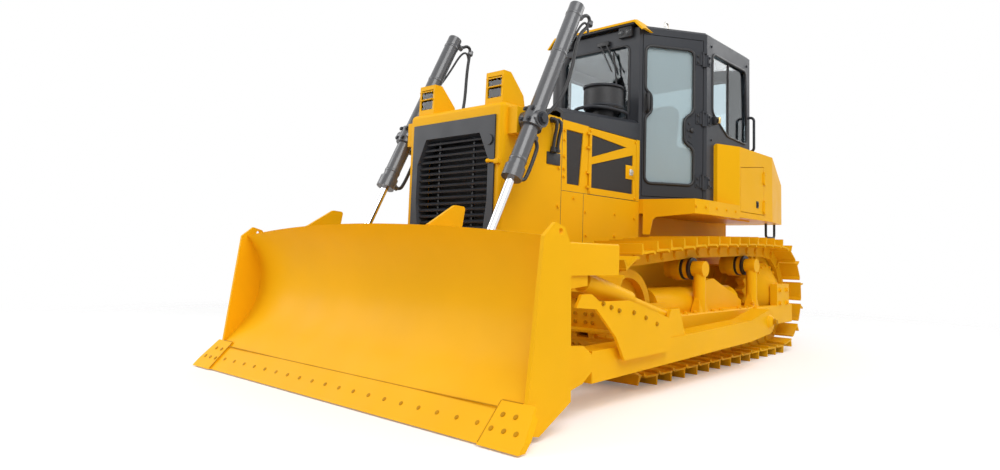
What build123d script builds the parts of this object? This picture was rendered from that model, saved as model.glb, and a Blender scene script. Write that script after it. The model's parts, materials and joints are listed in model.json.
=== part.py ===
"""Crawler dozer with a straight tilt blade, built as separate pieces.

Millimetres, +X forward to the blade, +Y to the machine's left, +Z up.
The origin is on the ground, on the centre line, midway along the length.
"""

import math
import os

from build123d import *

os.makedirs("parts", exist_ok=True)

# Running gear
SX = -1765.0
SPROCKET_Z = 574.0
SPROCKET_R = 437.0
IDLER_X = SX + 2583.0
IDLER_Z = 517.0
IDLER_R = 380.0
IDLER_TREAD = 314.0
TRACK_Y = 940.0
SHOE_W = 580.0
SHOE_COUNT = 38
SHOE_T = 12.0
GROUSER = 65.0
RAIL_OUT = 60.0
RAIL_IN = 50.0
RAIL_Y = 75.0
RAIL_T = 45.0
CARRIER_XS = (SX + 560.0, SX + 1620.0)
CARRIER_PIN_Z = (1012.0, 978.0)
CARRIER_R = 90.0
ROLLER_R = 95.0
ROLLER_COUNT = 7
ROLLER_FIRST_X = SX + 560.0
ROLLER_STEP = 262.0
BEAM_HALF = 170.0
BEAM_BOTTOM = 395.0
BEAM_TOP = 600.0
LEDGE_TOP = 480.0
LEDGE_OUT = 1190.0
TUBE_R = 142.0
TUBE_Z = 538.0
POST_Y = 1125.0
POST_R = 52.0
BEARING_IN = 1150.0
BEARING_OUT = 1222.0
DRIVE_PIN_R = 70.0
BEAM_REAR = SX + 480.0
BEAM_FRONT = SX + 2150.0
GUARD_T = 20.0

# Hull and engine bay
HULL_HALF = 400.0
HULL_BOTTOM = 450.0
HULL_DECK = 1320.0
BAY_REAR = SX + 1640.0
BAY_FRONT = SX + 2760.0
BODY_HALF = 519.0
NOSE_X = SX + 3431.0
NOSE_BOTTOM = 560.0
NOSE_TOP = 2010.0
PLATE = 40.0
PANEL = 30.0
PANEL_LOW = 1000.0
PANEL_MID = 1425.0
PANEL_TOP = 1990.0
DOOR_GAP = 6.0
HOOD_T = 25.0
MASK_HALF = 455.0
MASK_LOW = 800.0
MASK_TOP = 1915.0
MASK_DEEP = 90.0
LOUVRE_COUNT = 20
LAMP_LONG = 240.0
LAMP_HIGH = 240.0
HOOD_FRONT_TOP = 2095.0
HOOD_REAR_TOP = 2185.0
HOOD_SHOULDER = 40.0

# Cab
CAB_FLOOR = 1450.0
CAB_HIGH = 1590.0
CAB_TOP = CAB_FLOOR + CAB_HIGH
ROOF_T = 55.0
CAB_WALL = 60.0
CAB_FRONT_X = SX + 1640.0
CAB_FRONT_HALF = 500.0
CAB_HINGE_X = SX + 1075.0
CAB_HALF = 905.0
CAB_SIDE_END_X = SX + 95.0
CAB_REAR_X = SX + 20.0
CAB_REAR_HALF = 800.0
GLASS_T = 8.0
PANE_TOP_GAP = 125.0
PANE_LOW = 2130.0
SCREEN_LOW = 2215.0
SCREEN_HALF = 390.0

# Deck and tank
DECK_LOW = 1320.0
TANK_WRAP = 145.0
TANK_HALF = CAB_HALF + TANK_WRAP
TANK_LOW = 1335.0
TANK_TOP = 2030.0
TANK_FRONT_X = SX + 930.0
TANK_CORNER_X = SX + 660.0
TANK_FACET_X = SX - 160.0
TANK_REAR_X = SX - 700.0
TANK_TAPER = 110.0
TANK_DOOR_T = 25.0
TANK_DOOR_FRONT = SX + 640.0
TANK_DOOR_REAR = SX + 66.0
TANK_DOOR_LOW = 1390.0

# Blade and its linkage
TRUNNION_X = SX + 900.0
TRUNNION_Z = 380.0
TRUNNION_R = 52.0
ARM_Y = 1360.0
ARM_HALF = 85.0
ARM_EYE_X = SX + 3700.0
ARM_EYE_Z = 305.0
BLADE_HALF = 1616.0
END_PLATE = 25.0
EDGE_HALF = 1713.0
EDGE_TIP_X = SX + 4470.0
EDGE_TIP_Z = 10.0
EDGE_ANGLE = 48.0
EDGE_LONG = 200.0
EDGE_T = 25.0
END_BIT_IN = 1440.0
END_BIT_LONG = 240.0
END_BIT_TOP_HALF = 1662.0
END_BIT_STEP = 15.0
BLADE_T = 28.0
BLADE_REAR_X = SX + 3985.0
BLADE_TOP = 1092.0
BLADE_SHOULDER = 1015.0
LIP_LONG = 210.0
BOWL_R = 530.0
FIN_Y = 675.0
LIFT_Y = 700.0
LIFT_PIVOT_X = SX + 3306.0
LIFT_PIVOT_Z = 1870.0
LIFT_LEAN = 25.5
LIFT_BARREL_UP = 1079.0
LIFT_BARREL_DOWN = 487.0
LIFT_BARREL_R = 60.0
LIFT_BORE_R = 48.0
LIFT_ROD_R = 30.0
LIFT_EYE = 1404.0
EYE_R = 58.0
EYE_W = 70.0
EAR_GAP = 168.0
RUN_CLEAR = 0.05
HINGE_R = 11.0
HINGE_PIN = 6.0
HINGE_LONG = 110.0
SMALL_HINGE_R = 8.0
SMALL_PIN = 4.0
SMALL_LONG = 100.0
LUG = 16.0
LUG_GAP = 1.0
BALL_R = 85.0
BALL_CLEAR = 0.1
TILT_BALL_R = 54.9
FORK_BALL_R = 53.9
GUARD_WIDE = 216.0
LIFT_PISTON = 60.0
LIFT_PISTON_AT = -15.0
TILT_PIN_X = SX + 2580.0
TILT_PIN_Z = 505.0
TILT_EYE_X = SX + 3700.0
TILT_EYE_Z = 805.0
TILT_BARREL_R = 65.0
TILT_ROD_R = 40.0
DRAWBAR_X = SX - 940.0


def side_plane(y):
    """Plane at y facing -Y, X to the right and Z up."""
    return Plane(origin=(0, y, 0), x_dir=(1, 0, 0), z_dir=(0, -1, 0))


def front_plane(x):
    """Plane at x facing +X, Y to the right and Z up."""
    return Plane(origin=(x, 0, 0), x_dir=(0, 1, 0), z_dir=(1, 0, 0))


def along(x, z, y, lean_x, lean_z):
    """Plane whose normal runs along a direction in XZ, with Y as its own x."""
    return Plane(origin=(x, y, z), x_dir=(0, 1, 0), z_dir=(lean_x, 0, lean_z))


def belt_points(count):
    """Pin positions of the track chain, evenly spread round the wheels."""
    wheels = [(SX, SPROCKET_Z, SPROCKET_R), (IDLER_X, IDLER_Z, IDLER_R)]
    for k in (1, 0):
        reach = CARRIER_R + RAIL_IN
        wheels.append((CARRIER_XS[k], CARRIER_PIN_Z[k] - reach, reach))
    normals = []
    for k, one in enumerate(wheels):
        two = wheels[(k + 1) % len(wheels)]
        far = math.hypot(two[0] - one[0], two[1] - one[1])
        turn = math.atan2(two[1] - one[1], two[0] - one[0])
        angle = turn - math.acos((one[2] - two[2]) / far)
        while normals and angle < normals[-1]:
            angle += 2 * math.pi
        normals.append(angle)
    pieces = []
    for k, one in enumerate(wheels):
        two = wheels[(k + 1) % len(wheels)]
        angle = normals[k]
        start = (one[0] + one[2] * math.cos(angle), one[1] + one[2] * math.sin(angle))
        end = (two[0] + two[2] * math.cos(angle), two[1] + two[2] * math.sin(angle))
        pieces.append(("line", start, end, math.dist(start, end)))
        after = normals[(k + 1) % len(wheels)]
        while after < angle:
            after += 2 * math.pi
        pieces.append(("arc", two, (angle, after), two[2] * (after - angle)))
    total = sum(piece[3] for piece in pieces)
    points = []
    for k in range(count):
        left = total * k / count
        for kind, one, two, length in pieces:
            if left > length:
                left -= length
                continue
            share = left / length
            if kind == "line":
                points.append((one[0] + (two[0] - one[0]) * share, one[1] + (two[1] - one[1]) * share))
            else:
                angle = two[0] + (two[1] - two[0]) * share
                points.append((one[0] + one[2] * math.cos(angle), one[1] + one[2] * math.sin(angle)))
            break
    return points


def chord_frame(points, k):
    """Start, direction, outward normal and length of one link's chord."""
    one = points[k % len(points)]
    two = points[(k + 1) % len(points)]
    length = math.dist(one, two)
    ahead = ((two[0] - one[0]) / length, (two[1] - one[1]) / length)
    return one, ahead, (ahead[1], -ahead[0]), length


def grown_loop(points, by):
    """The pin polygon moved outward by a distance, corners mitred."""
    grown = []
    for k in range(len(points)):
        before = chord_frame(points, k - 1)[2]
        here, _, after, _ = chord_frame(points, k)
        stretch = by / (1 + before[0] * after[0] + before[1] * after[1])
        out = (before[0] + after[0], before[1] + after[1])
        grown.append((here[0] + out[0] * stretch, here[1] + out[1] * stretch))
    return grown


def shoe_outline(points, k):
    """Plate and grouser of one shoe, standing on its link."""
    start, ahead, out, length = chord_frame(points, k)
    top = RAIL_OUT + SHOE_T
    tip = top + GROUSER
    shape = [(4, RAIL_OUT - 2), (4, top), (12, top), (17, tip), (31, tip), (37, top)]
    shape += [(length - 30, top), (length - 5, top - 12), (length - 5, top - 32)]
    shape += [(length - 17, top - 32), (length - 40, RAIL_OUT - 2)]
    return [(start[0] + ahead[0] * u + out[0] * v, start[1] + ahead[1] * u + out[1] * v) for u, v in shape]


PINS = belt_points(SHOE_COUNT)
CAB_HINGE_ZS = (CAB_FLOOR + 190, (CAB_FLOOR + CAB_TOP) / 2, CAB_TOP - 220)
ENGINE_HINGE_ZS = (PANEL_MID + 120, PANEL_TOP - 120)
TANK_HINGE_ZS = (1475.0, 1775.0)
FACET = math.hypot(CAB_FRONT_X - CAB_HINGE_X, CAB_HALF - CAB_FRONT_HALF)
FACET_DIR = ((CAB_HINGE_X - CAB_FRONT_X) / FACET, (CAB_HALF - CAB_FRONT_HALF) / FACET)
DOOR_PLANE = Plane(
    origin=(CAB_FRONT_X, CAB_FRONT_HALF, 0),
    x_dir=(FACET_DIR[0], FACET_DIR[1], 0),
    z_dir=(FACET_DIR[1], -FACET_DIR[0], 0),
)
DOOR_HINGE_U = FACET - 35 - DOOR_GAP - 5
DOOR_HINGE_W = 13.0
ENGINE_DOOR_FRONT = BAY_FRONT - 340 - DOOR_GAP
ENGINE_DOOR_REAR = BAY_REAR + 50 + DOOR_GAP
ENGINE_HINGE_X = ENGINE_DOOR_FRONT - 4
ENGINE_HINGE_Y = BODY_HALF + 10
TANK_HINGE_X = TANK_DOOR_REAR + DOOR_GAP + 5
TANK_HINGE_Y = TANK_HALF + 10
LIFT_DX = math.sin(math.radians(LIFT_LEAN))
LIFT_DZ = -math.cos(math.radians(LIFT_LEAN))
TILT_LONG = math.hypot(TILT_EYE_X - TILT_PIN_X, TILT_EYE_Z - TILT_PIN_Z)
TILT_DX = (TILT_EYE_X - TILT_PIN_X) / TILT_LONG
TILT_DZ = (TILT_EYE_Z - TILT_PIN_Z) / TILT_LONG

# Tracks, one fixed loop each
with BuildPart() as track_left:
    with BuildSketch(side_plane(TRACK_Y + SHOE_W / 2)):
        for k in range(SHOE_COUNT):
            Polygon(*shoe_outline(PINS, k), align=None)
    extrude(amount=SHOE_W)
    for rail in (RAIL_Y, -RAIL_Y):
        with BuildSketch(side_plane(TRACK_Y + rail + RAIL_T / 2)):
            Polygon(*grown_loop(PINS, RAIL_OUT), align=None)
            Polygon(*grown_loop(PINS, -RAIL_IN), align=None, mode=Mode.SUBTRACT)
        extrude(amount=RAIL_T)
with BuildPart() as track_right:
    mirror(track_left.part, about=Plane.XZ)

# Sprockets
TOOTH_COUNT = 26
with BuildPart() as sprockets:
    with BuildSketch(side_plane(TRACK_Y + 40)):
        rim = []
        for k in range(TOOTH_COUNT):
            for part_turn, radius in ((0.1, 392.0), (0.35, 448.0), (0.55, 448.0), (0.8, 392.0)):
                angle = 2 * math.pi * (k + part_turn) / TOOTH_COUNT
                rim.append((SX + radius * math.cos(angle), SPROCKET_Z + radius * math.sin(angle)))
        Polygon(*rim, align=None)
        with Locations((SX, SPROCKET_Z)):
            Circle(255.0, mode=Mode.SUBTRACT)
    extrude(amount=80)
    mirror(about=Plane.XZ)

# Final drives: hub through the sprocket, cone outside it, pin in the outer bearing
DRIVE_PLANE = Plane(origin=(SX, 0, SPROCKET_Z), x_dir=(1, 0, 0), z_dir=(0, 0, 1))
with BuildPart() as final_drives:
    with BuildSketch(DRIVE_PLANE):
        with BuildLine():
            Polyline(
                (0, 560), (300, 560), (300, 660), (255, 690), (255, TRACK_Y + 40), (330, TRACK_Y + 40),
                (330, TRACK_Y + 72), (312, TRACK_Y + 84), (128, BEARING_IN), (DRIVE_PIN_R, BEARING_IN),
                (DRIVE_PIN_R, BEARING_OUT - 22), (0, BEARING_OUT - 22), close=True,
            )
        make_face()
    revolve(axis=Axis((SX, 0, SPROCKET_Z), (0, 1, 0)))
    mirror(about=Plane.XZ)

# Idlers
with BuildPart() as idlers:
    with Locations(Location((IDLER_X, TRACK_Y, IDLER_Z), (90, 0, 0))):
        Cylinder(IDLER_TREAD, 200)
        Cylinder(IDLER_TREAD + 24, 96)
        Cylinder(250, 220, mode=Mode.SUBTRACT)
        Cylinder(250, 60)
        Cylinder(90, 220)
    mirror(about=Plane.XZ)

# Track rollers
with BuildPart() as track_rollers:
    for k in range(ROLLER_COUNT):
        roller_x = ROLLER_FIRST_X + k * ROLLER_STEP
        roller_z = SPROCKET_Z - SPROCKET_R + RAIL_IN + ROLLER_R
        with Locations(Location((roller_x, TRACK_Y, roller_z), (90, 0, 0))):
            Cylinder(ROLLER_R, 230)
            Cylinder(ROLLER_R + 16, 80)
            Cylinder(45, 2 * (BEAM_HALF - GUARD_T))
    mirror(about=Plane.XZ)

# Carrier rollers
with BuildPart() as carrier_rollers:
    for k in (0, 1):
        carrier_z = CARRIER_PIN_Z[k] - RAIL_IN - CARRIER_R
        with Locations(Location((CARRIER_XS[k], TRACK_Y - 5, carrier_z), (90, 0, 0))):
            Cylinder(CARRIER_R - 3, 220)
            Cylinder(CARRIER_R + 14, 84)
        with Locations(Location((CARRIER_XS[k], (TRACK_Y + 95 + POST_Y - 55) / 2, carrier_z), (90, 0, 0))):
            Cylinder(55, POST_Y - 55 - TRACK_Y - 95)
    mirror(about=Plane.XZ)

# Track frames with recoil tube, roller guards, carrier posts and trunnion pin
with BuildPart() as track_frame_left:
    beam_mid_x = (BEAM_REAR + BEAM_FRONT) / 2
    beam_long = BEAM_FRONT - BEAM_REAR
    with BuildSketch(front_plane(BEAM_REAR)):
        Polygon(
            (TRACK_Y - BEAM_HALF, BEAM_BOTTOM), (TRACK_Y - BEAM_HALF, BEAM_TOP), (TRACK_Y, BEAM_TOP),
            (TRACK_Y, LEDGE_TOP), (LEDGE_OUT - 12, LEDGE_TOP), (LEDGE_OUT, LEDGE_TOP - 12),
            (LEDGE_OUT, BEAM_BOTTOM - 65), (TRACK_Y + BEAM_HALF, BEAM_BOTTOM - 65),
            (TRACK_Y + BEAM_HALF, BEAM_BOTTOM), align=None,
        )
    extrude(amount=beam_long)
    for guard_side in (1, -1):
        with Locations((beam_mid_x, TRACK_Y + guard_side * (BEAM_HALF - GUARD_T / 2), 318)):
            Box(beam_long, GUARD_T, 180)
    with BuildSketch(front_plane(SX + 760)):
        with Locations((TRACK_Y, TUBE_Z)):
            Circle(TUBE_R)
    extrude(amount=1465)
    with BuildSketch(side_plane(TRACK_Y + 150)):
        Polygon(
            (SX + 1462, LEDGE_TOP - 20), (SX + 1462, 738), (SX + 1289, 752), (SX + 716, 545),
            (SX + 716, LEDGE_TOP - 20), align=None,
        )
    extrude(amount=120)
    for yoke_side in (1, -1):
        with Locations((SX + 2400, TRACK_Y + yoke_side * 130, IDLER_Z)):
            Box(560, 40, 110)
        with Locations(Location((IDLER_X, TRACK_Y + yoke_side * 130, IDLER_Z), (90, 0, 0))):
            Cylinder(95, 40)
    for k in (0, 1):
        carrier_z = CARRIER_PIN_Z[k] - RAIL_IN - CARRIER_R
        with BuildSketch(Plane.XY.offset(LEDGE_TOP - 20)):
            with Locations((CARRIER_XS[k], POST_Y)):
                Circle(POST_R)
        extrude(amount=carrier_z - LEDGE_TOP + 10)
        with BuildSketch(Plane.XY.offset(LEDGE_TOP - 20)):
            with Locations((CARRIER_XS[k], POST_Y)):
                RectangleRounded(170, 106, 20)
        extrude(amount=190, taper=14)
        with Locations(Location((CARRIER_XS[k], POST_Y, carrier_z), (90, 0, 0))):
            Cylinder(66, 110)
    trunnion_long = ARM_Y - 25 - TRACK_Y - BEAM_HALF
    with Locations(Location((TRUNNION_X, ARM_Y - 25 - trunnion_long / 2, TRUNNION_Z), (90, 0, 0))):
        Cylinder(TRUNNION_R, trunnion_long)
    with BuildSketch(front_plane(SX - 240)):
        with Locations(((BEARING_IN + BEARING_OUT) / 2, 388)):
            RectangleRounded(BEARING_OUT - BEARING_IN, 184, 10)
    extrude(amount=900)
    with Locations((SX, (BEARING_IN + BEARING_OUT) / 2, 565)):
        Box(320, BEARING_OUT - BEARING_IN, 250)
    with Locations(Location((SX, BEARING_IN + 20, SPROCKET_Z), (90, 0, 0))):
        Cylinder(DRIVE_PIN_R, 60, mode=Mode.SUBTRACT)
with BuildPart() as track_frame_right:
    mirror(track_frame_left.part, about=Plane.XZ)

# Pivot shaft and equalizer bar, carrying the hull on the track frames
with BuildPart() as pivot_shaft:
    with Locations(Location((SX + 620, 0, 500), (90, 0, 0))):
        Cylinder(90, 2 * (TRACK_Y - BEAM_HALF))
with BuildPart() as equalizer_bar:
    with BuildSketch(front_plane(SX + 1900 - 110)):
        with BuildLine():
            Polyline(
                (-770, 470), (-560, 380), (560, 380), (770, 470), (770, 560),
                (520, 450), (-520, 450), (-770, 560), close=True,
            )
        make_face()
    extrude(amount=220)

# Main frame: tub under the engine, case and cab pedestal
with BuildPart() as main_frame:
    with Locations(((SX + 2180), 0, 725)):
        Box(1160, 2 * HULL_HALF, 550)
    with Locations(((SX + 2180), 0, 775)):
        Box(1080, 2 * HULL_HALF - 60, 600, mode=Mode.SUBTRACT)
    with Locations((SX + 2730, 0, 780)):
        Box(60, 2 * BODY_HALF, 440)
    with Locations((SX + 620, 0, (HULL_BOTTOM + HULL_DECK) / 2)):
        Box(2040, 2 * HULL_HALF, HULL_DECK - HULL_BOTTOM)
    with Locations((SX + 10, 0, 640)):
        Box(720, 1120, 440)
    with Locations(Location((SX, 0, SPROCKET_Z), (90, 0, 0))):
        Cylinder(300, 1120)
    with Locations(Location((SX + 620, 0, 500), (90, 0, 0))):
        Cylinder(90, 900, mode=Mode.SUBTRACT)
    with Locations((SX + 1620, 0, 1212)):
        Box(40, 2 * BODY_HALF - 2 * PANEL, 216)
    with Locations((SX - 200, 0, TANK_LOW - 50)):
        Box(400, 2 * HULL_HALF, 100)

# Engine as one block at its place
with BuildPart() as engine_block:
    with Locations((SX + 2160, 0, 475 + 310)):
        Box(900, 620, 620)
    with Locations((SX + 2160, 0, 1095 + 250)):
        Box(900, 420, 500)
    with Locations((SX + 2160, 0, 1595 + 70)):
        Box(860, 300, 140)

# Radiator guard with its cheeks for the lift cylinders
with BuildPart() as radiator_guard:
    with Locations(((BAY_FRONT + NOSE_X) / 2, 0, (NOSE_BOTTOM + NOSE_TOP) / 2)):
        Box(NOSE_X - BAY_FRONT, 2 * BODY_HALF, NOSE_TOP - NOSE_BOTTOM)
    nose_edges = radiator_guard.edges().filter_by(Axis.X).group_by(Axis.Z)[-1]
    fillet(nose_edges, 40)
    fillet(radiator_guard.edges().group_by(Axis.X)[-1].sort_by(Axis.Z)[-1], 35)
    with Locations(((BAY_FRONT + NOSE_X) / 2 - PLATE, 0, (NOSE_BOTTOM + NOSE_TOP) / 2)):
        Box(
            NOSE_X - BAY_FRONT, 2 * (BODY_HALF - PLATE), NOSE_TOP - NOSE_BOTTOM - 2 * PLATE,
            mode=Mode.SUBTRACT,
        )
    with Locations((NOSE_X, 0, (MASK_LOW + MASK_TOP) / 2)):
        Box(4 * PLATE, 2 * MASK_HALF, MASK_TOP - MASK_LOW, mode=Mode.SUBTRACT)
    for cheek in (1, -1):
        with Locations((LIFT_PIVOT_X - 10, cheek * (BODY_HALF + LIFT_Y - 90) / 2, LIFT_PIVOT_Z)):
            Box(170, LIFT_Y - 90 - BODY_HALF, 190)
        with Locations(Location((LIFT_PIVOT_X, cheek * (LIFT_Y - 76), LIFT_PIVOT_Z), (90, 0, 0))):
            Cylinder(40, 48)

# Radiator core seated between the guard's walls
with BuildPart() as radiator_core:
    with Locations((SX + 3190, 0, 1250)):
        Box(110, 2 * (BODY_HALF - PLATE), 1300)

# Grille mask with louvres
with BuildPart() as grille:
    with Locations((NOSE_X - MASK_DEEP / 2 + 12, 0, (MASK_LOW + MASK_TOP) / 2)):
        Box(MASK_DEEP, 2 * MASK_HALF, MASK_TOP - MASK_LOW)
    with BuildSketch(front_plane(NOSE_X + 12)):
        Polygon(
            (-300, 1795), (300, 1795), (395, 1600), (395, 1300), (330, 840), (-330, 840),
            (-395, 1300), (-395, 1600), align=None,
        )
    extrude(amount=-MASK_DEEP, taper=20, mode=Mode.SUBTRACT)
    for k in range(LOUVRE_COUNT):
        louvre_z = 872 + k * (1760 - 872) / (LOUVRE_COUNT - 1)
        with Locations(Location((NOSE_X - 25, 0, louvre_z), (0, 25, 0))):
            Box(36, 2 * 389, 12)
    for bar_y in (-190, 190):
        with Locations((NOSE_X - 48, bar_y, 1310)):
            Box(16, 16, 960)
    with Locations(Location((NOSE_X + 17, 402, 1735), (0, 90, 0))):
        Cylinder(38, 12)

# Lamps on the nose
with BuildPart() as lamp_housings:
    with BuildSketch(side_plane(470)):
        Polygon(
            (NOSE_X - 40, NOSE_TOP), (NOSE_X - 46, NOSE_TOP + LAMP_HIGH),
            (NOSE_X - 120, NOSE_TOP + LAMP_HIGH), (NOSE_X - 20 - LAMP_LONG, NOSE_TOP + 90),
            (NOSE_X - 40 - LAMP_LONG, NOSE_TOP), align=None,
        )
    extrude(amount=180)
    with BuildSketch(side_plane(450)):
        Polygon(
            (NOSE_X, NOSE_TOP + 45), (NOSE_X, NOSE_TOP + 205), (NOSE_X - 110, NOSE_TOP + 205),
            (NOSE_X - 110, NOSE_TOP + 45), align=None,
        )
    extrude(amount=140, mode=Mode.SUBTRACT)
    mirror(about=Plane.XZ)
with BuildPart() as lamp_lenses:
    for lamp_z in (85, 165):
        with Locations((NOSE_X - 80, 380, NOSE_TOP + lamp_z)):
            Box(60, 140, 70)
    mirror(about=Plane.XZ)

# Hood between the radiator guard and the cab, rising to the rear
HOOD_PLANE = Plane(
    origin=(BAY_FRONT, 0, HOOD_FRONT_TOP), x_dir=(0, 1, 0),
    z_dir=(HOOD_REAR_TOP - HOOD_FRONT_TOP, 0, BAY_FRONT - BAY_REAR - 5),
)
with BuildPart() as hood:
    for skin, cut in ((0, Mode.ADD), (HOOD_T, Mode.SUBTRACT)):
        for station, top in ((BAY_REAR + 5, HOOD_REAR_TOP), (BAY_FRONT, HOOD_FRONT_TOP)):
            with BuildSketch(front_plane(station)):
                wide = BODY_HALF - skin
                flat = BODY_HALF - 60 - skin / 3
                shoulder = top - HOOD_SHOULDER - skin / 2
                Polygon(
                    (-wide, PANEL_TOP), (wide, PANEL_TOP), (wide, shoulder), (flat, top - skin),
                    (-flat, top - skin), (-wide, shoulder), align=None,
                )
        loft(mode=cut)

# Fixed side walls of the engine bay
with BuildPart() as engine_side_panels:
    with Locations(((BAY_REAR + BAY_FRONT) / 2, BODY_HALF - PANEL / 2, (PANEL_LOW + PANEL_MID) / 2)):
        Box(BAY_FRONT - BAY_REAR, PANEL, PANEL_MID - PANEL_LOW)
    with Locations((BAY_FRONT - 170, BODY_HALF - PANEL / 2, (PANEL_MID + PANEL_TOP) / 2)):
        Box(340, PANEL, PANEL_TOP - PANEL_MID)
    with Locations((BAY_REAR + 25, BODY_HALF - PANEL / 2, (PANEL_MID + PANEL_TOP) / 2)):
        Box(50, PANEL, PANEL_TOP - PANEL_MID)
    with Locations((BAY_FRONT - 170, BODY_HALF - PANEL / 2, PANEL_TOP - 10)):
        Box(340, PANEL, 20)
    with BuildSketch(side_plane(BODY_HALF)):
        Polygon(
            (BAY_FRONT - 70, PANEL_MID + 60), (BAY_FRONT - 50, PANEL_TOP - 70),
            (BAY_FRONT - 270, PANEL_TOP - 70), (BAY_FRONT - 230, PANEL_MID + 60), align=None,
        )
    extrude(amount=12, mode=Mode.SUBTRACT)
    for hinge_z in ENGINE_HINGE_ZS:
        for lug_side in (1, -1):
            lug_z = hinge_z + lug_side * (SMALL_LONG / 2 + LUG_GAP + LUG / 2)
            with Locations((ENGINE_HINGE_X, ENGINE_HINGE_Y, lug_z)):
                Cylinder(SMALL_HINGE_R, LUG)
            with Locations((ENGINE_HINGE_X + 20, ENGINE_HINGE_Y, lug_z)):
                Box(40, 2 * SMALL_HINGE_R, LUG)
            with Locations((ENGINE_HINGE_X + 28, BODY_HALF + 4, lug_z)):
                Box(24, 16, LUG)
        with Locations((ENGINE_HINGE_X, ENGINE_HINGE_Y, hinge_z)):
            Cylinder(SMALL_PIN, SMALL_LONG + LUG)
    mirror(about=Plane.XZ)

# Engine doors, hinged at the front edge
with BuildPart() as engine_door_left:
    with Locations((
        (ENGINE_DOOR_FRONT + ENGINE_DOOR_REAR) / 2, BODY_HALF - PANEL / 2,
        (PANEL_MID + PANEL_TOP) / 2,
    )):
        Box(ENGINE_DOOR_FRONT - ENGINE_DOOR_REAR, PANEL, PANEL_TOP - PANEL_MID - 2 * DOOR_GAP)
    with BuildSketch(side_plane(BODY_HALF)):
        Polygon(
            (ENGINE_DOOR_FRONT - 45, PANEL_TOP - 60), (ENGINE_DOOR_FRONT - 560, PANEL_TOP - 95),
            (ENGINE_DOOR_FRONT - 45, PANEL_TOP - 250), align=None,
        )
        Polygon(
            (ENGINE_DOOR_FRONT - 45, PANEL_TOP - 310), (ENGINE_DOOR_REAR + 50, PANEL_TOP - 150),
            (ENGINE_DOOR_REAR + 50, PANEL_MID + 60), (ENGINE_DOOR_FRONT - 45, PANEL_MID + 60), align=None,
        )
    extrude(amount=12, mode=Mode.SUBTRACT)
    for hinge_z in ENGINE_HINGE_ZS:
        with Locations((ENGINE_HINGE_X - 12, BODY_HALF + 4, hinge_z)):
            Box(24, 12, SMALL_LONG)
        with Locations((ENGINE_HINGE_X, ENGINE_HINGE_Y, hinge_z)):
            Cylinder(SMALL_HINGE_R, SMALL_LONG)
            Cylinder(SMALL_PIN + RUN_CLEAR, SMALL_LONG + 4, mode=Mode.SUBTRACT)
with BuildPart() as engine_door_right:
    mirror(engine_door_left.part, about=Plane.XZ)

# Exhaust and air pre-cleaner on the hood
STACK_X = SX + 2120.0
STACK_Y = -60.0
CLEANER_X = SX + 1960.0
CLEANER_Y = 330.0
CLEANER_R = 180.0
CLEANER_TOP = 2445.0
with BuildPart() as exhaust_stack:
    with Locations((STACK_X, STACK_Y, HOOD_FRONT_TOP + 45)):
        Cylinder(95, 90)
    with Locations((STACK_X, STACK_Y, 2380)):
        Cylinder(55, 430)
    with BuildSketch(Plane(origin=(STACK_X, STACK_Y, 2595))):
        Circle(55)
    with BuildLine(Plane(origin=(STACK_X, STACK_Y, 2595), x_dir=(-1, 0, 0), z_dir=(0, 1, 0))) as bend:
        Polyline((0, 0), (0, 60), (60, 160))
    sweep(path=bend.wires()[0], transition=Transition.RIGHT)
    split(bisect_by=HOOD_PLANE, keep=Keep.TOP)
with BuildPart() as air_precleaner:
    with BuildSketch(Plane(origin=(CLEANER_X, CLEANER_Y, 0), x_dir=(1, 0, 0), z_dir=(0, -1, 0))):
        with BuildLine():
            Polyline(
                (0, HOOD_FRONT_TOP), (92, HOOD_FRONT_TOP), (92, 2215), (CLEANER_R - 14, 2225),
                (CLEANER_R, 2240), (CLEANER_R, CLEANER_TOP - 45), (CLEANER_R - 12, CLEANER_TOP - 20),
                (CLEANER_R - 50, CLEANER_TOP), (0, CLEANER_TOP), close=True,
            )
        make_face()
    revolve(axis=Axis((CLEANER_X, CLEANER_Y, 0), (0, 0, 1)))
    split(bisect_by=HOOD_PLANE, keep=Keep.TOP)

# Deck under the cab with a skirt at its front corners
DECK_CORNER_X = SX + 1511.0
DECK_CORNER_Y = TANK_HALF - 32
TANK_FRONT_HALF = CAB_HALF + 40
with BuildPart() as deck:
    with BuildSketch(Plane.XY.offset(DECK_LOW)):
        Polygon(
            (BAY_REAR - 5, -560), (BAY_REAR - 5, 560), (DECK_CORNER_X, DECK_CORNER_Y),
            (SX + 1300, TANK_HALF), (TANK_CORNER_X, TANK_HALF), (TANK_FRONT_X, TANK_FRONT_HALF),
            (TANK_FRONT_X, CAB_HALF),
            (CAB_SIDE_END_X, CAB_HALF), (CAB_REAR_X, CAB_REAR_HALF), (CAB_REAR_X, -CAB_REAR_HALF),
            (CAB_SIDE_END_X, -CAB_HALF), (TANK_FRONT_X, -CAB_HALF), (TANK_FRONT_X, -TANK_FRONT_HALF),
            (TANK_CORNER_X, -TANK_HALF), (SX + 1300, -TANK_HALF), (DECK_CORNER_X, -DECK_CORNER_Y),
            align=None,
        )
    extrude(amount=CAB_FLOOR - DECK_LOW)
    skirt_long = math.hypot(BAY_REAR - 5 - DECK_CORNER_X, DECK_CORNER_Y - 560)
    skirt_dir = ((DECK_CORNER_X - BAY_REAR + 5) / skirt_long, (DECK_CORNER_Y - 560) / skirt_long)
    with BuildSketch(Plane(
        origin=(BAY_REAR - 5, 560, 0), x_dir=(skirt_dir[0], skirt_dir[1], 0),
        z_dir=(skirt_dir[1], -skirt_dir[0], 0),
    )):
        Polygon(
            (0, DECK_LOW + 10), (0, 1130), (66, 1130), (92, 1262), (122, 1288), (skirt_long, DECK_LOW),
            (skirt_long, DECK_LOW + 10), align=None,
        )
    extrude(amount=-14)
    split(bisect_by=Plane.XZ, keep=Keep.BOTTOM)
    mirror(about=Plane.XZ)

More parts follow.
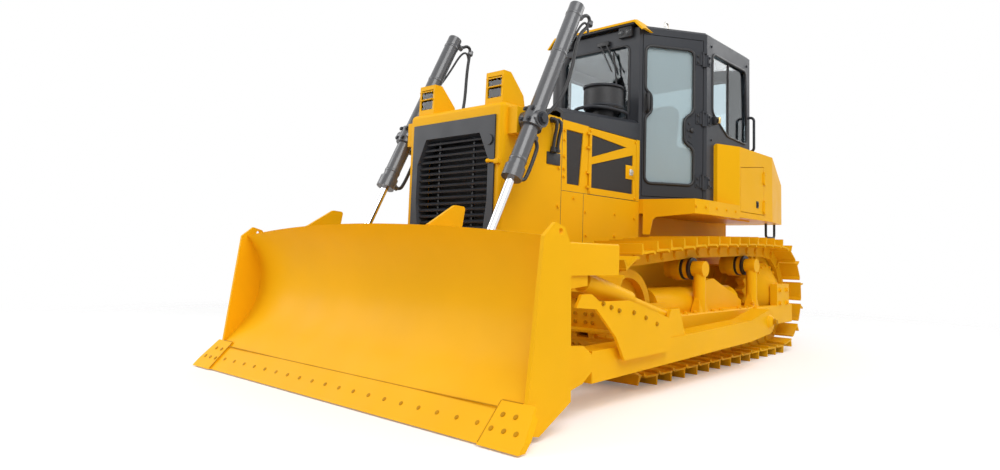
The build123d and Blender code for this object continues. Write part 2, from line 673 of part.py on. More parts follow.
# Outlines of the panes, each used for an opening and for its glass
PANE_TOP = CAB_TOP - PANE_TOP_GAP
GRIP_Z = CAB_FLOOR + 0.567 * CAB_HIGH
LOCK_Z = CAB_FLOOR + 0.425 * CAB_HIGH
with BuildSketch() as screen_pane:
    with Locations((0, (SCREEN_LOW + PANE_TOP) / 2)):
        RectangleRounded(2 * SCREEN_HALF, PANE_TOP - SCREEN_LOW, 60)
with BuildSketch() as rear_pane:
    with Locations((0, (PANE_LOW + PANE_TOP - 30) / 2)):
        RectangleRounded(2 * 620, PANE_TOP - 30 - PANE_LOW, 60)
with BuildSketch() as side_pane:
    Polygon(
        (SX + 960, PANE_LOW + 200), (SX + 960, PANE_TOP), (SX + 200, PANE_TOP), (SX + 170, PANE_LOW + 200),
        (SX + 180, PANE_LOW), (SX + 640, PANE_LOW + 20), align=None,
    )
    fillet(side_pane.vertices().sort_by(Axis.Y)[-2:], 45)
with BuildSketch() as door_pane:
    Polygon(
        (66, CAB_FLOOR + 155), (66, GRIP_Z - 130), (128, GRIP_Z - 80), (128, GRIP_Z + 80),
        (66, GRIP_Z + 130), (66, CAB_TOP - 140), (560, CAB_TOP - 140), (560, LOCK_Z + 175),
        (462, LOCK_Z + 115), (462, LOCK_Z - 115), (560, LOCK_Z - 175), (560, CAB_FLOOR + 155),
        align=None,
    )
    fillet(door_pane.vertices().group_by(Axis.Y)[0], 60)
    fillet(door_pane.vertices().group_by(Axis.Y)[-1], 60)

# Cab shell
with BuildPart() as cab_frame:
    with BuildSketch(Plane.XY.offset(CAB_FLOOR)):
        Polygon(
            (CAB_FRONT_X, -CAB_FRONT_HALF), (CAB_FRONT_X, CAB_FRONT_HALF), (CAB_HINGE_X, CAB_HALF),
            (CAB_SIDE_END_X, CAB_HALF), (CAB_REAR_X, CAB_REAR_HALF), (CAB_REAR_X, -CAB_REAR_HALF),
            (CAB_SIDE_END_X, -CAB_HALF), (CAB_HINGE_X, -CAB_HALF), align=None,
        )
    extrude(amount=CAB_TOP - CAB_FLOOR)
    with BuildSketch(Plane.XY.offset(CAB_FLOOR + 30)):
        Polygon(
            (CAB_FRONT_X, -CAB_FRONT_HALF), (CAB_FRONT_X, CAB_FRONT_HALF), (CAB_HINGE_X, CAB_HALF),
            (CAB_SIDE_END_X, CAB_HALF), (CAB_REAR_X, CAB_REAR_HALF), (CAB_REAR_X, -CAB_REAR_HALF),
            (CAB_SIDE_END_X, -CAB_HALF), (CAB_HINGE_X, -CAB_HALF), align=None,
        )
        offset(amount=-CAB_WALL, kind=Kind.INTERSECTION, mode=Mode.REPLACE)
    extrude(amount=CAB_TOP - CAB_FLOOR, mode=Mode.SUBTRACT)
    with BuildSketch(front_plane(CAB_FRONT_X + 10)):
        add(screen_pane.sketch)
    extrude(amount=-(CAB_WALL + 30), mode=Mode.SUBTRACT)
    with BuildSketch(front_plane(CAB_REAR_X - 10)):
        add(rear_pane.sketch)
    extrude(amount=CAB_WALL + 30, mode=Mode.SUBTRACT)
    with BuildSketch(side_plane(CAB_HALF + 10)):
        add(side_pane.sketch)
    extrude(amount=2 * CAB_HALF + 20, mode=Mode.SUBTRACT)
    with BuildSketch(DOOR_PLANE.offset(10)):
        with Locations((FACET / 2, (CAB_FLOOR + CAB_TOP) / 2)):
            Rectangle(FACET - 70, CAB_TOP - CAB_FLOOR - 60)
    extrude(amount=-(CAB_WALL + 30), mode=Mode.SUBTRACT)
    with BuildSketch(Plane(
        origin=(CAB_FRONT_X, -CAB_FRONT_HALF, 0), x_dir=(FACET_DIR[0], -FACET_DIR[1], 0),
        z_dir=(FACET_DIR[1], FACET_DIR[0], 0),
    ).offset(10)):
        with Locations((FACET / 2, -(CAB_FLOOR + CAB_TOP) / 2)):
            Rectangle(FACET - 70, CAB_TOP - CAB_FLOOR - 60)
    extrude(amount=-(CAB_WALL + 30), mode=Mode.SUBTRACT)
    for hinge_z in CAB_HINGE_ZS:
        for lug_side in (1, -1):
            lug_z = hinge_z + lug_side * (HINGE_LONG / 2 + LUG_GAP + LUG / 2)
            with Locations(DOOR_PLANE * Location((DOOR_HINGE_U, lug_z, DOOR_HINGE_W), (90, 0, 0))):
                Cylinder(HINGE_R, LUG)
            with Locations(DOOR_PLANE * Location((DOOR_HINGE_U + 19, lug_z, DOOR_HINGE_W))):
                Box(38, LUG, 2 * HINGE_R)
            with Locations(DOOR_PLANE * Location((DOOR_HINGE_U + 26, lug_z, DOOR_HINGE_W / 2))):
                Box(24, LUG, DOOR_HINGE_W + 10)
        with Locations(DOOR_PLANE * Location((DOOR_HINGE_U, hinge_z, DOOR_HINGE_W), (90, 0, 0))):
            Cylinder(HINGE_PIN, HINGE_LONG + LUG)
    split(bisect_by=Plane.XZ, keep=Keep.BOTTOM)
    mirror(about=Plane.XZ)

# Cab roof
with BuildPart() as cab_roof:
    with BuildSketch(Plane.XY.offset(CAB_TOP)):
        Polygon(
            (CAB_FRONT_X, -CAB_FRONT_HALF), (CAB_FRONT_X, CAB_FRONT_HALF), (CAB_HINGE_X, CAB_HALF),
            (CAB_SIDE_END_X, CAB_HALF), (CAB_REAR_X, CAB_REAR_HALF), (CAB_REAR_X, -CAB_REAR_HALF),
            (CAB_SIDE_END_X, -CAB_HALF), (CAB_HINGE_X, -CAB_HALF), align=None,
        )
    extrude(amount=ROOF_T)
    chamfer(cab_roof.edges().group_by(Axis.Z)[-1], 25)

# Visors over the windscreen and the rear window
with BuildPart() as cab_visors:
    with BuildSketch(front_plane(CAB_FRONT_X)):
        Polygon(
            (-560, CAB_TOP - 45), (-480, CAB_TOP + 90), (480, CAB_TOP + 90), (560, CAB_TOP - 45),
            (470, CAB_TOP + 35), (-470, CAB_TOP + 35), align=None,
        )
    extrude(amount=190)
    with BuildSketch(front_plane(CAB_REAR_X)):
        Polygon(
            (-700, CAB_TOP - 100), (-700, CAB_TOP + 40), (700, CAB_TOP + 40), (700, CAB_TOP - 100),
            align=None,
        )
    extrude(amount=-70)

# Cab panes
with BuildPart() as cab_glass:
    with BuildSketch(front_plane(CAB_FRONT_X - 20)):
        add(screen_pane.sketch)
    extrude(amount=-GLASS_T)
    with BuildSketch(front_plane(CAB_REAR_X + 20)):
        add(rear_pane.sketch)
    extrude(amount=GLASS_T)
    for pane_y in (CAB_HALF - 20, -CAB_HALF + 20 + GLASS_T):
        with BuildSketch(side_plane(pane_y)):
            add(side_pane.sketch)
        extrude(amount=GLASS_T)

# Cab doors, hinged at the rear edge
DOOR_WIDE = FACET - 70 - 2 * DOOR_GAP
DOOR_HIGH = CAB_TOP - CAB_FLOOR - 60 - 2 * DOOR_GAP
DOOR_MID = (CAB_FLOOR + CAB_TOP) / 2
with BuildPart() as cab_door_left:
    with BuildSketch(DOOR_PLANE):
        with Locations((FACET / 2, DOOR_MID)):
            Rectangle(DOOR_WIDE, DOOR_HIGH)
        add(door_pane.sketch, mode=Mode.SUBTRACT)
    extrude(amount=-CAB_WALL)
    for hinge_z in CAB_HINGE_ZS:
        with Locations(DOOR_PLANE * Location((DOOR_HINGE_U - 16, hinge_z, DOOR_HINGE_W / 2 - 1))):
            Box(32, HINGE_LONG, DOOR_HINGE_W + 2)
        with Locations(DOOR_PLANE * Location((DOOR_HINGE_U, hinge_z, DOOR_HINGE_W), (90, 0, 0))):
            Cylinder(HINGE_R, HINGE_LONG)
            Cylinder(HINGE_PIN + RUN_CLEAR, HINGE_LONG + 4, mode=Mode.SUBTRACT)
with BuildPart() as cab_door_glass_left:
    with BuildSketch(DOOR_PLANE.offset(-20)):
        add(door_pane.sketch)
    extrude(amount=-GLASS_T)
with BuildPart() as cab_door_right:
    mirror(cab_door_left.part, about=Plane.XZ)
with BuildPart() as cab_door_glass_right:
    mirror(cab_door_glass_left.part, about=Plane.XZ)

# Seat and consoles
SEAT_X = SX + 720.0
with BuildPart() as seat:
    with Locations((SEAT_X, 0, CAB_FLOOR + 30 + 170)):
        Box(380, 380, 340)
    with Locations((SEAT_X + 20, 0, CAB_FLOOR + 370 + 65)):
        Box(500, 500, 130)
    with Locations(Location((SEAT_X - 240, 0, CAB_FLOOR + 800), (0, -10, 0))):
        Box(120, 480, 720)
with BuildPart() as consoles:
    for console_y in (-420, 420):
        with Locations((SEAT_X + 80, console_y, CAB_FLOOR + 30 + 280)):
            Box(700, 180, 560)
        with Locations((SEAT_X + 330, console_y, CAB_FLOOR + 590 + 90)):
            Cylinder(22, 200)
        with Locations((SEAT_X + 330, console_y, CAB_FLOOR + 590 + 200)):
            Sphere(45)
    with Locations((CAB_FRONT_X - CAB_WALL - 90, 0, CAB_FLOOR + 30 + 280)):
        Box(180, 560, 560)

# Tank wrapped round the back of the cab
TANK_REAR_HALF = TANK_HALF - TANK_TAPER
with BuildSketch() as tank_door_face:
    Polygon(
        (TANK_DOOR_FRONT, TANK_DOOR_LOW), (TANK_DOOR_REAR, TANK_DOOR_LOW), (TANK_DOOR_REAR, TANK_TOP - 130),
        (TANK_DOOR_FRONT, TANK_TOP - 200), align=None,
    )
with BuildPart() as fuel_tank:
    with BuildSketch(Plane.XY.offset(TANK_LOW)):
        Polygon(
            (TANK_FRONT_X, TANK_FRONT_HALF), (TANK_CORNER_X, TANK_HALF), (TANK_FACET_X, TANK_HALF),
            (TANK_REAR_X, TANK_REAR_HALF), (TANK_REAR_X, -TANK_REAR_HALF), (TANK_FACET_X, -TANK_HALF),
            (TANK_CORNER_X, -TANK_HALF), (TANK_FRONT_X, -TANK_FRONT_HALF), (TANK_FRONT_X, -CAB_HALF),
            (CAB_SIDE_END_X, -CAB_HALF), (CAB_REAR_X, -CAB_REAR_HALF), (CAB_REAR_X, CAB_REAR_HALF),
            (CAB_SIDE_END_X, CAB_HALF), (TANK_FRONT_X, CAB_HALF), align=None,
        )
    extrude(amount=TANK_TOP - TANK_LOW)
    fillet(fuel_tank.faces().sort_by(Axis.Z)[-1].edges().filter_by(Axis.X).group_by(SortBy.LENGTH)[-1], 28)
    with BuildSketch(side_plane(TANK_HALF + 10)):
        Polygon(
            (TANK_FACET_X, TANK_TOP + 5), (TANK_REAR_X - 5, TANK_TOP - 250), (TANK_REAR_X - 5, TANK_TOP + 5),
            align=None,
        )
    extrude(amount=2 * TANK_HALF + 20, mode=Mode.SUBTRACT)
    with BuildSketch(side_plane(TANK_HALF + 1)):
        add(tank_door_face.sketch)
    extrude(amount=TANK_DOOR_T + 1, mode=Mode.SUBTRACT)
    with BuildSketch(side_plane(-TANK_HALF - 1)):
        add(tank_door_face.sketch)
    extrude(amount=-(TANK_DOOR_T + 1), mode=Mode.SUBTRACT)
    for side in (1, -1):
        for hinge_z in TANK_HINGE_ZS:
            for lug_side in (1, -1):
                lug_z = hinge_z + lug_side * (SMALL_LONG / 2 + LUG_GAP + LUG / 2)
                with Locations((TANK_HINGE_X, side * TANK_HINGE_Y, lug_z)):
                    Cylinder(SMALL_HINGE_R, LUG)
                with Locations((TANK_HINGE_X - 22, side * TANK_HINGE_Y, lug_z)):
                    Box(44, 2 * SMALL_HINGE_R, LUG)
                with Locations((TANK_HINGE_X - 30, side * (TANK_HALF + 4), lug_z)):
                    Box(28, 16, LUG)
            with Locations((TANK_HINGE_X, side * TANK_HINGE_Y, hinge_z)):
                Cylinder(SMALL_PIN, SMALL_LONG + LUG)

# Tank doors, hinged at the rear edge
with BuildPart() as tank_door_left:
    with BuildSketch(side_plane(TANK_HALF)):
        add(tank_door_face.sketch)
        offset(amount=-DOOR_GAP, kind=Kind.INTERSECTION, mode=Mode.REPLACE)
    extrude(amount=TANK_DOOR_T - DOOR_GAP)
    for hinge_z in TANK_HINGE_ZS:
        with Locations((TANK_HINGE_X + 12, TANK_HALF + 4, hinge_z)):
            Box(24, 12, SMALL_LONG)
        with Locations((TANK_HINGE_X, TANK_HINGE_Y, hinge_z)):
            Cylinder(SMALL_HINGE_R, SMALL_LONG)
            Cylinder(SMALL_PIN + RUN_CLEAR, SMALL_LONG + 4, mode=Mode.SUBTRACT)
with BuildPart() as tank_door_right:
    mirror(tank_door_left.part, about=Plane.XZ)

# Handrails behind the cab and the rear step loops
STEP_Y = TANK_REAR_HALF - 70
STEP_Z = TANK_LOW - 155
with BuildPart() as handrails:
    with BuildLine() as rail_line:
        FilletPolyline(
            (CAB_SIDE_END_X + 60, CAB_HALF, 2420), (CAB_SIDE_END_X + 60, CAB_HALF + 75, 2420),
            (CAB_SIDE_END_X + 60, CAB_HALF + 75, 2060), (CAB_SIDE_END_X + 60, CAB_HALF, 2060), radius=40,
        )
    with BuildSketch(Plane(origin=rail_line.line @ 0, z_dir=rail_line.line % 0)):
        Circle(14)
    sweep()
    with BuildLine() as step_line:
        FilletPolyline(
            (SX - 420, STEP_Y, TANK_LOW), (SX - 420, STEP_Y, STEP_Z), (TANK_REAR_X + 40, STEP_Y, STEP_Z),
            (TANK_REAR_X + 40, STEP_Y, TANK_LOW), radius=40,
        )
    with BuildSketch(Plane(origin=step_line.line @ 0, z_dir=step_line.line % 0)):
        Circle(14)
    sweep(path=step_line.line)
    mirror(about=Plane.XZ)

# Drawbar
with BuildPart() as drawbar:
    root_long = SX - 400 - DRAWBAR_X - 240
    with Locations((SX - 400 - root_long / 2, 0, 560)):
        Box(root_long, 260, 160)
    with Locations((DRAWBAR_X + 130, 0, 560)):
        Box(260, 200, 220)
    with Locations((DRAWBAR_X + 110, 0, 560)):
        Box(220, 220, 100, mode=Mode.SUBTRACT)
        Cylinder(27, 300, mode=Mode.SUBTRACT)

# Trunnion bushings between the frame pins and the push arms
with BuildPart() as trunnion_bushings:
    with Locations(Location((TRUNNION_X, ARM_Y - 55, TRUNNION_Z), (90, 0, 0))):
        Cylinder(TRUNNION_R + 20, 50)
        Cylinder(TRUNNION_R + RUN_CLEAR, 60, mode=Mode.SUBTRACT)
    mirror(about=Plane.XZ)

# Push arms
ARM_END = 108.0
with BuildPart() as push_arm_plain:
    with BuildSketch(side_plane(ARM_Y + ARM_HALF)):
        Polygon(
            (TRUNNION_X, TRUNNION_Z - ARM_END), (SX + 1300, 236), (SX + 3560, 176), (SX + 3560, 362),
            (SX + 2530, 374), (SX + 1300, 412), (TRUNNION_X, TRUNNION_Z + ARM_END), align=None,
        )
        with Locations((TRUNNION_X, TRUNNION_Z)):
            Circle(ARM_END)
    extrude(amount=2 * ARM_HALF)
    with BuildSketch(side_plane(ARM_Y + 50)):
        Polygon(
            (SX + 3480, 205), (ARM_EYE_X, ARM_EYE_Z - 60), (ARM_EYE_X, ARM_EYE_Z + 60), (SX + 3480, 350),
            align=None,
        )
    extrude(amount=100)
    with Locations((ARM_EYE_X, ARM_Y, ARM_EYE_Z)):
        Sphere(BALL_R)
    with Locations((TRUNNION_X, ARM_Y + ARM_HALF - 20, TRUNNION_Z)):
        Sphere(64)
    for ear in (67, -67):
        with BuildSketch(side_plane(ARM_Y + ear + 12)):
            Polygon(
                (TILT_PIN_X - 150, 366), (TILT_PIN_X + 150, 360), (TILT_PIN_X + 60, TILT_PIN_Z + 60),
                (TILT_PIN_X - 60, TILT_PIN_Z + 60), align=None,
            )
        extrude(amount=24)
    with Locations(Location((TRUNNION_X, ARM_Y - 55, TRUNNION_Z), (90, 0, 0))):
        Cylinder(TRUNNION_R + 20 + RUN_CLEAR, 70, mode=Mode.SUBTRACT)
with BuildPart() as push_arm_right:
    mirror(push_arm_plain.part, about=Plane.XZ)

# Shield plate on the left arm, standing clear of the tilt cylinder's swing
SHIELD_OUT = 36.0
SHIELD_T = 20.0
with BuildPart() as push_arm_left:
    add(push_arm_plain.part)
    with BuildSketch(side_plane(ARM_Y + ARM_HALF + SHIELD_OUT)):
        Polygon(
            (SX + 2770, 300), (SX + 3280, 290), (SX + 3280, 355), (SX + 2770, 362), align=None,
        )
    extrude(amount=SHIELD_OUT + 5)
    with BuildSketch(side_plane(ARM_Y + ARM_HALF + SHIELD_OUT + SHIELD_T)):
        Polygon(
            (SX + 3790, 628), (SX + 3745, 700), (SX + 3650, 700), (SX + 3570, 655), (SX + 3250, 650),
            (SX + 2750, 512), (SX + 2750, 300), (SX + 3300, 290), (SX + 3400, 440), (SX + 3600, 612),
            align=None,
        )
    extrude(amount=SHIELD_T)

# Blade
ED = (-math.cos(math.radians(EDGE_ANGLE)), math.sin(math.radians(EDGE_ANGLE)))
EN = (ED[1], -ED[0])


def edge_point(along_edge, in_front):
    """Point measured up the cutting edge's front face and out from it."""
    return (
        EDGE_TIP_X - END_BIT_STEP + ED[0] * along_edge + EN[0] * in_front,
        EDGE_TIP_Z + ED[1] * along_edge + EN[1] * in_front,
    )


BOARD_LOW = edge_point(EDGE_LONG, 0)
BACK_LOW = edge_point(EDGE_LONG, -BLADE_T)
BOWL = edge_point(EDGE_LONG + LIP_LONG, BOWL_R)
BOARD_TOP = BLADE_TOP + 6


def bowl_point(back, height):
    """Point of the mouldboard's arc at a height, moved back by a thickness."""
    radius = BOWL_R + back
    return (BOWL[0] - math.sqrt(radius**2 - (height - BOWL[1]) ** 2), height)


with BuildPart() as blade:
    with BuildSketch(side_plane(BLADE_HALF - END_PLATE + 1)):
        with BuildLine():
            Line(BOARD_LOW, edge_point(EDGE_LONG + LIP_LONG, 0))
            ThreePointArc(
                edge_point(EDGE_LONG + LIP_LONG, 0), bowl_point(0, BOWL[1]), bowl_point(0, BOARD_TOP)
            )
            Line(bowl_point(0, BOARD_TOP), bowl_point(BLADE_T, BOARD_TOP))
            ThreePointArc(
                bowl_point(BLADE_T, BOARD_TOP), bowl_point(BLADE_T, BOWL[1]),
                edge_point(EDGE_LONG + LIP_LONG, -BLADE_T),
            )
            Line(edge_point(EDGE_LONG + LIP_LONG, -BLADE_T), BACK_LOW)
            Line(BACK_LOW, BOARD_LOW)
        make_face()
    extrude(amount=2 * (BLADE_HALF - END_PLATE + 1))
    with BuildSketch(front_plane(SX + 3900)):
        with BuildLine():
            ThreePointArc((-BLADE_HALF, BLADE_SHOULDER), (0, BLADE_TOP), (BLADE_HALF, BLADE_SHOULDER))
            Polyline(
                (BLADE_HALF, BLADE_SHOULDER), (BLADE_HALF, BLADE_TOP + 200), (-BLADE_HALF, BLADE_TOP + 200),
                (-BLADE_HALF, BLADE_SHOULDER),
            )
        make_face()
    extrude(amount=500, mode=Mode.SUBTRACT)
    with BuildSketch(side_plane(BLADE_HALF)):
        Polygon(
            (SX + 4215, BLADE_SHOULDER), (SX + 4128, BLADE_SHOULDER + 73), (SX + 4053, BLADE_SHOULDER + 51),
            (BLADE_REAR_X + 12, BLADE_SHOULDER - 42), (BLADE_REAR_X - 16, 160), (SX + 4215, 28),
            edge_point(90, -EDGE_T), edge_point(EDGE_LONG, -EDGE_T), edge_point(EDGE_LONG, 0),
            edge_point(END_BIT_LONG, 0), edge_point(END_BIT_LONG, END_BIT_STEP * EN[0]), align=None,
        )
        with Locations((SX + 4085, BLADE_SHOULDER + 28)):
            Circle(16, mode=Mode.SUBTRACT)
    extrude(amount=END_PLATE)
    mirror(about=Plane.XZ)

# Frame behind the board: beams, lift ears, arm forks, tilt brackets and top fins
with BuildPart() as blade_frame:
    with BuildSketch(side_plane(BLADE_HALF - END_PLATE)):
        Polygon(
            BOARD_LOW, edge_point(EDGE_LONG, -EDGE_T), edge_point(70, -EDGE_T), (SX + 4270, 60),
            (BLADE_REAR_X, 130), (BLADE_REAR_X, 330), (SX + 4160, 330), align=None,
        )
        Polygon(
            (BLADE_REAR_X + 15, 860), (BLADE_REAR_X + 15, 960), (SX + 4150, 980), (SX + 4125, 840),
            align=None,
        )
    extrude(amount=2 * (BLADE_HALF - END_PLATE))
    for ear in (EAR_GAP / 2 + 25, -EAR_GAP / 2):
        with BuildSketch(side_plane(LIFT_Y + ear)):
            Polygon(
                (SX + 4130, 720), (SX + 3920, 690), (SX + 3845, 640), (SX + 3845, 560),
                (SX + 3920, 500), (SX + 4060, 320), (SX + 4160, 320), align=None,
            )
        extrude(amount=25)
    for fork in (125, -BALL_R - BALL_CLEAR):
        with BuildSketch(side_plane(ARM_Y + fork)):
            Polygon(
                (BLADE_REAR_X + 20, 130), (BLADE_REAR_X + 20, 430), (ARM_EYE_X, 410),
                (ARM_EYE_X - 90, 350), (ARM_EYE_X - 90, 260), (ARM_EYE_X, 200), align=None,
            )
        extrude(amount=25)
    for fork in (93, -FORK_BALL_R - BALL_CLEAR):
        with BuildSketch(side_plane(ARM_Y + fork)):
            Polygon(
                (SX + 4130, 700), (TILT_EYE_X - 70, 745), (TILT_EYE_X - 70, 865), (SX + 4130, 900),
                align=None,
            )
        extrude(amount=25)
    with BuildSketch(side_plane(FIN_Y + 12)):
        with BuildLine():
            FilletPolyline(
                (SX + 4230, BLADE_TOP - 25), (SX + 4180, BLADE_TOP), (SX + 3990, 1212), (SX + 3905, 1207),
                (SX + 3925, 1090), (SX + 4010, 900), (SX + 4125, 960), radius=18, close=True,
            )
        make_face()
    extrude(amount=24)
    mirror(about=Plane.XZ)
    with BuildSketch(side_plane(BLADE_HALF)):
        with BuildLine():
            Line(BACK_LOW, edge_point(EDGE_LONG + LIP_LONG, -BLADE_T))
            ThreePointArc(
                edge_point(EDGE_LONG + LIP_LONG, -BLADE_T), bowl_point(BLADE_T, BOWL[1]),
                bowl_point(BLADE_T, BOARD_TOP),
            )
            Polyline(
                bowl_point(BLADE_T, BOARD_TOP), (bowl_point(BLADE_T, BOARD_TOP)[0], BLADE_TOP + 200),
                (EDGE_TIP_X, BLADE_TOP + 200), (EDGE_TIP_X, BOARD_LOW[1]), BOARD_LOW, BACK_LOW,
            )
        make_face()
    extrude(amount=2 * BLADE_HALF, mode=Mode.SUBTRACT)

# Cutting edge and end bits
with BuildPart() as cutting_edge:
    flat_back = EDGE_T * EN[1] / ED[1]
    with BuildSketch(side_plane(END_BIT_IN)):
        Polygon(
            edge_point(0, 0), edge_point(EDGE_LONG, 0), edge_point(EDGE_LONG, -EDGE_T),
            edge_point(flat_back, -EDGE_T), align=None,
        )
    extrude(amount=2 * END_BIT_IN)
    for side in (EDGE_HALF, -END_BIT_IN):
        with BuildSketch(side_plane(side)):
            Polygon(
                (EDGE_TIP_X, EDGE_TIP_Z), edge_point(END_BIT_LONG, END_BIT_STEP * EN[0]),
                edge_point(END_BIT_LONG, 0), edge_point(EDGE_LONG, 0), edge_point(EDGE_LONG, -EDGE_T),
                edge_point(flat_back, -EDGE_T), align=None,
            )
        extrude(amount=EDGE_HALF - END_BIT_IN)
    bit_top = edge_point(END_BIT_LONG, 0)[1] + 20
    with BuildSketch(front_plane(SX + 4200)):
        Polygon(
            (EDGE_HALF + 5, EDGE_TIP_Z + 30), (EDGE_HALF + 5, bit_top), (END_BIT_TOP_HALF, bit_top),
            align=None,
        )
        mirror(about=Plane.YZ)
    extrude(amount=400, mode=Mode.SUBTRACT)

# Tilt guard box behind the blade's left top
with BuildPart() as tilt_guard:
    guard_long = BLADE_REAR_X + 15 - SX - 3330
    with Locations((SX + 3330 + guard_long / 2, ARM_Y, 985)):
        Box(guard_long, GUARD_WIDE, 20)
    for wall in (GUARD_WIDE / 2 - 7, 7 - GUARD_WIDE / 2):
        with Locations((SX + 3330 + guard_long / 2, ARM_Y + wall, 892)):
            Box(guard_long, 14, 172)
    fillet(tilt_guard.edges().filter_by(Axis.X).group_by(Axis.Z)[-1], 12)

# Lift cylinders, each on a plane across its own axis
LIFT_PLANE = along(LIFT_PIVOT_X, LIFT_PIVOT_Z, LIFT_Y, LIFT_DX, LIFT_DZ)
with BuildPart() as lift_cylinder_left:
    with BuildSketch(LIFT_PLANE):
        Circle(LIFT_BARREL_R)
    extrude(amount=LIFT_BARREL_DOWN)
    with BuildSketch(LIFT_PLANE):
        Circle(LIFT_BARREL_R)
    extrude(amount=-LIFT_BARREL_UP)
    with BuildSketch(LIFT_PLANE.offset(-70)):
        Circle(LIFT_BARREL_R + 20)
    extrude(amount=140)
    with Locations(Location((LIFT_PIVOT_X, LIFT_Y, LIFT_PIVOT_Z), (90, 0, 0))):
        Cylinder(64, 170)
    with BuildSketch(LIFT_PLANE.offset(LIFT_BARREL_DOWN - 90)):
        Circle(LIFT_BARREL_R + 12)
    extrude(amount=90)
    with BuildSketch(LIFT_PLANE.offset(-LIFT_BARREL_UP + 20)):
        Circle(LIFT_BORE_R)
    extrude(amount=LIFT_BARREL_UP + LIFT_BARREL_DOWN - 20 - 60, mode=Mode.SUBTRACT)
    with BuildSketch(LIFT_PLANE):
        Circle(LIFT_ROD_R + RUN_CLEAR)
    extrude(amount=LIFT_BARREL_DOWN + 10, mode=Mode.SUBTRACT)
    with Locations(Location((LIFT_PIVOT_X, LIFT_Y - 70, LIFT_PIVOT_Z), (90, 0, 0))):
        Cylinder(40 + RUN_CLEAR, 60, mode=Mode.SUBTRACT)
with BuildPart() as lift_cylinder_right:
    mirror(lift_cylinder_left.part, about=Plane.XZ)

# Lift rods with their eyes
LIFT_EYE_X = LIFT_PIVOT_X + LIFT_EYE * LIFT_DX
LIFT_EYE_Z = LIFT_PIVOT_Z + LIFT_EYE * LIFT_DZ
with BuildPart() as lift_rod_left:
    with BuildSketch(LIFT_PLANE):
        Circle(LIFT_ROD_R)
    extrude(amount=LIFT_EYE)
    extrude(faces().sort_by(Axis((0, 0, 0), (LIFT_DX, 0, LIFT_DZ)))[0], amount=-LIFT_PISTON_AT)
    with BuildSketch(LIFT_PLANE.offset(LIFT_PISTON_AT)):
        Circle(LIFT_BORE_R - RUN_CLEAR)
    extrude(amount=-LIFT_PISTON)
    with Locations(Location((LIFT_EYE_X, LIFT_Y, LIFT_EYE_Z), (90, 0, 0))):
        Cylinder(EYE_R, EYE_W)
with BuildPart() as lift_rod_right:
    mirror(lift_rod_left.part, about=Plane.XZ)

# Tilt cylinder on the left arm, screw brace on the right one
TILT_PLANE = Plane(
    origin=(TILT_PIN_X, ARM_Y, TILT_PIN_Z), x_dir=(TILT_DX, 0, TILT_DZ), z_dir=(0, -1, 0)
)
TILT_NECK = 40.0
TILT_BORE_R = TILT_BARREL_R - 15
with BuildPart() as tilt_rod:
    with BuildSketch(TILT_PLANE):
        neck_x = math.sqrt(TILT_BALL_R**2 - TILT_NECK**2)
        with BuildLine():
            ThreePointArc((-TILT_BALL_R, 0), (0, TILT_BALL_R), (neck_x, TILT_NECK))
            Polyline(
                (neck_x, TILT_NECK), (TILT_LONG - 400, TILT_ROD_R),
                (TILT_LONG - 400, TILT_BORE_R - RUN_CLEAR), (TILT_LONG - 340, TILT_BORE_R - RUN_CLEAR),
                (TILT_LONG - 340, 0), (-TILT_BALL_R, 0),
            )
        make_face()
    revolve(axis=Axis((TILT_PIN_X, ARM_Y, TILT_PIN_Z), (TILT_DX, 0, TILT_DZ)))
with BuildPart() as tilt_cylinder:
    with BuildSketch(TILT_PLANE):
        front_neck = TILT_LONG - math.sqrt(FORK_BALL_R**2 - TILT_NECK**2)
        with BuildLine():
            Polyline(
                (TILT_LONG + FORK_BALL_R, 0), (TILT_LONG - 160, 0), (TILT_LONG - 160, TILT_BORE_R),
                (TILT_LONG - 590, TILT_BORE_R), (TILT_LONG - 590, TILT_ROD_R + RUN_CLEAR),
                (TILT_LONG - 650, TILT_ROD_R + RUN_CLEAR), (TILT_LONG - 650, TILT_BARREL_R),
                (TILT_LONG - 140, TILT_BARREL_R), (TILT_LONG - 130, TILT_NECK), (front_neck, TILT_NECK),
            )
            ThreePointArc(
                (front_neck, TILT_NECK), (TILT_LONG, FORK_BALL_R), (TILT_LONG + FORK_BALL_R, 0)
            )
        make_face()
    revolve(axis=Axis((TILT_PIN_X, ARM_Y, TILT_PIN_Z), (TILT_DX, 0, TILT_DZ)))
with BuildPart() as tilt_brace:
    with BuildSketch(TILT_PLANE.offset(2 * ARM_Y)):
        with BuildLine():
            ThreePointArc((-TILT_BALL_R, 0), (0, TILT_BALL_R), (neck_x, TILT_NECK))
            Polyline(
                (neck_x, TILT_NECK), (200, TILT_NECK), (220, 62), (820, 62), (840, TILT_NECK),
                (front_neck, TILT_NECK),
            )
            ThreePointArc(
                (front_neck, TILT_NECK), (TILT_LONG, FORK_BALL_R), (TILT_LONG + FORK_BALL_R, 0)
            )
            Line((TILT_LONG + FORK_BALL_R, 0), (-TILT_BALL_R, 0))
        make_face()
    revolve(axis=Axis((TILT_PIN_X, -ARM_Y, TILT_PIN_Z), (TILT_DX, 0, TILT_DZ)))

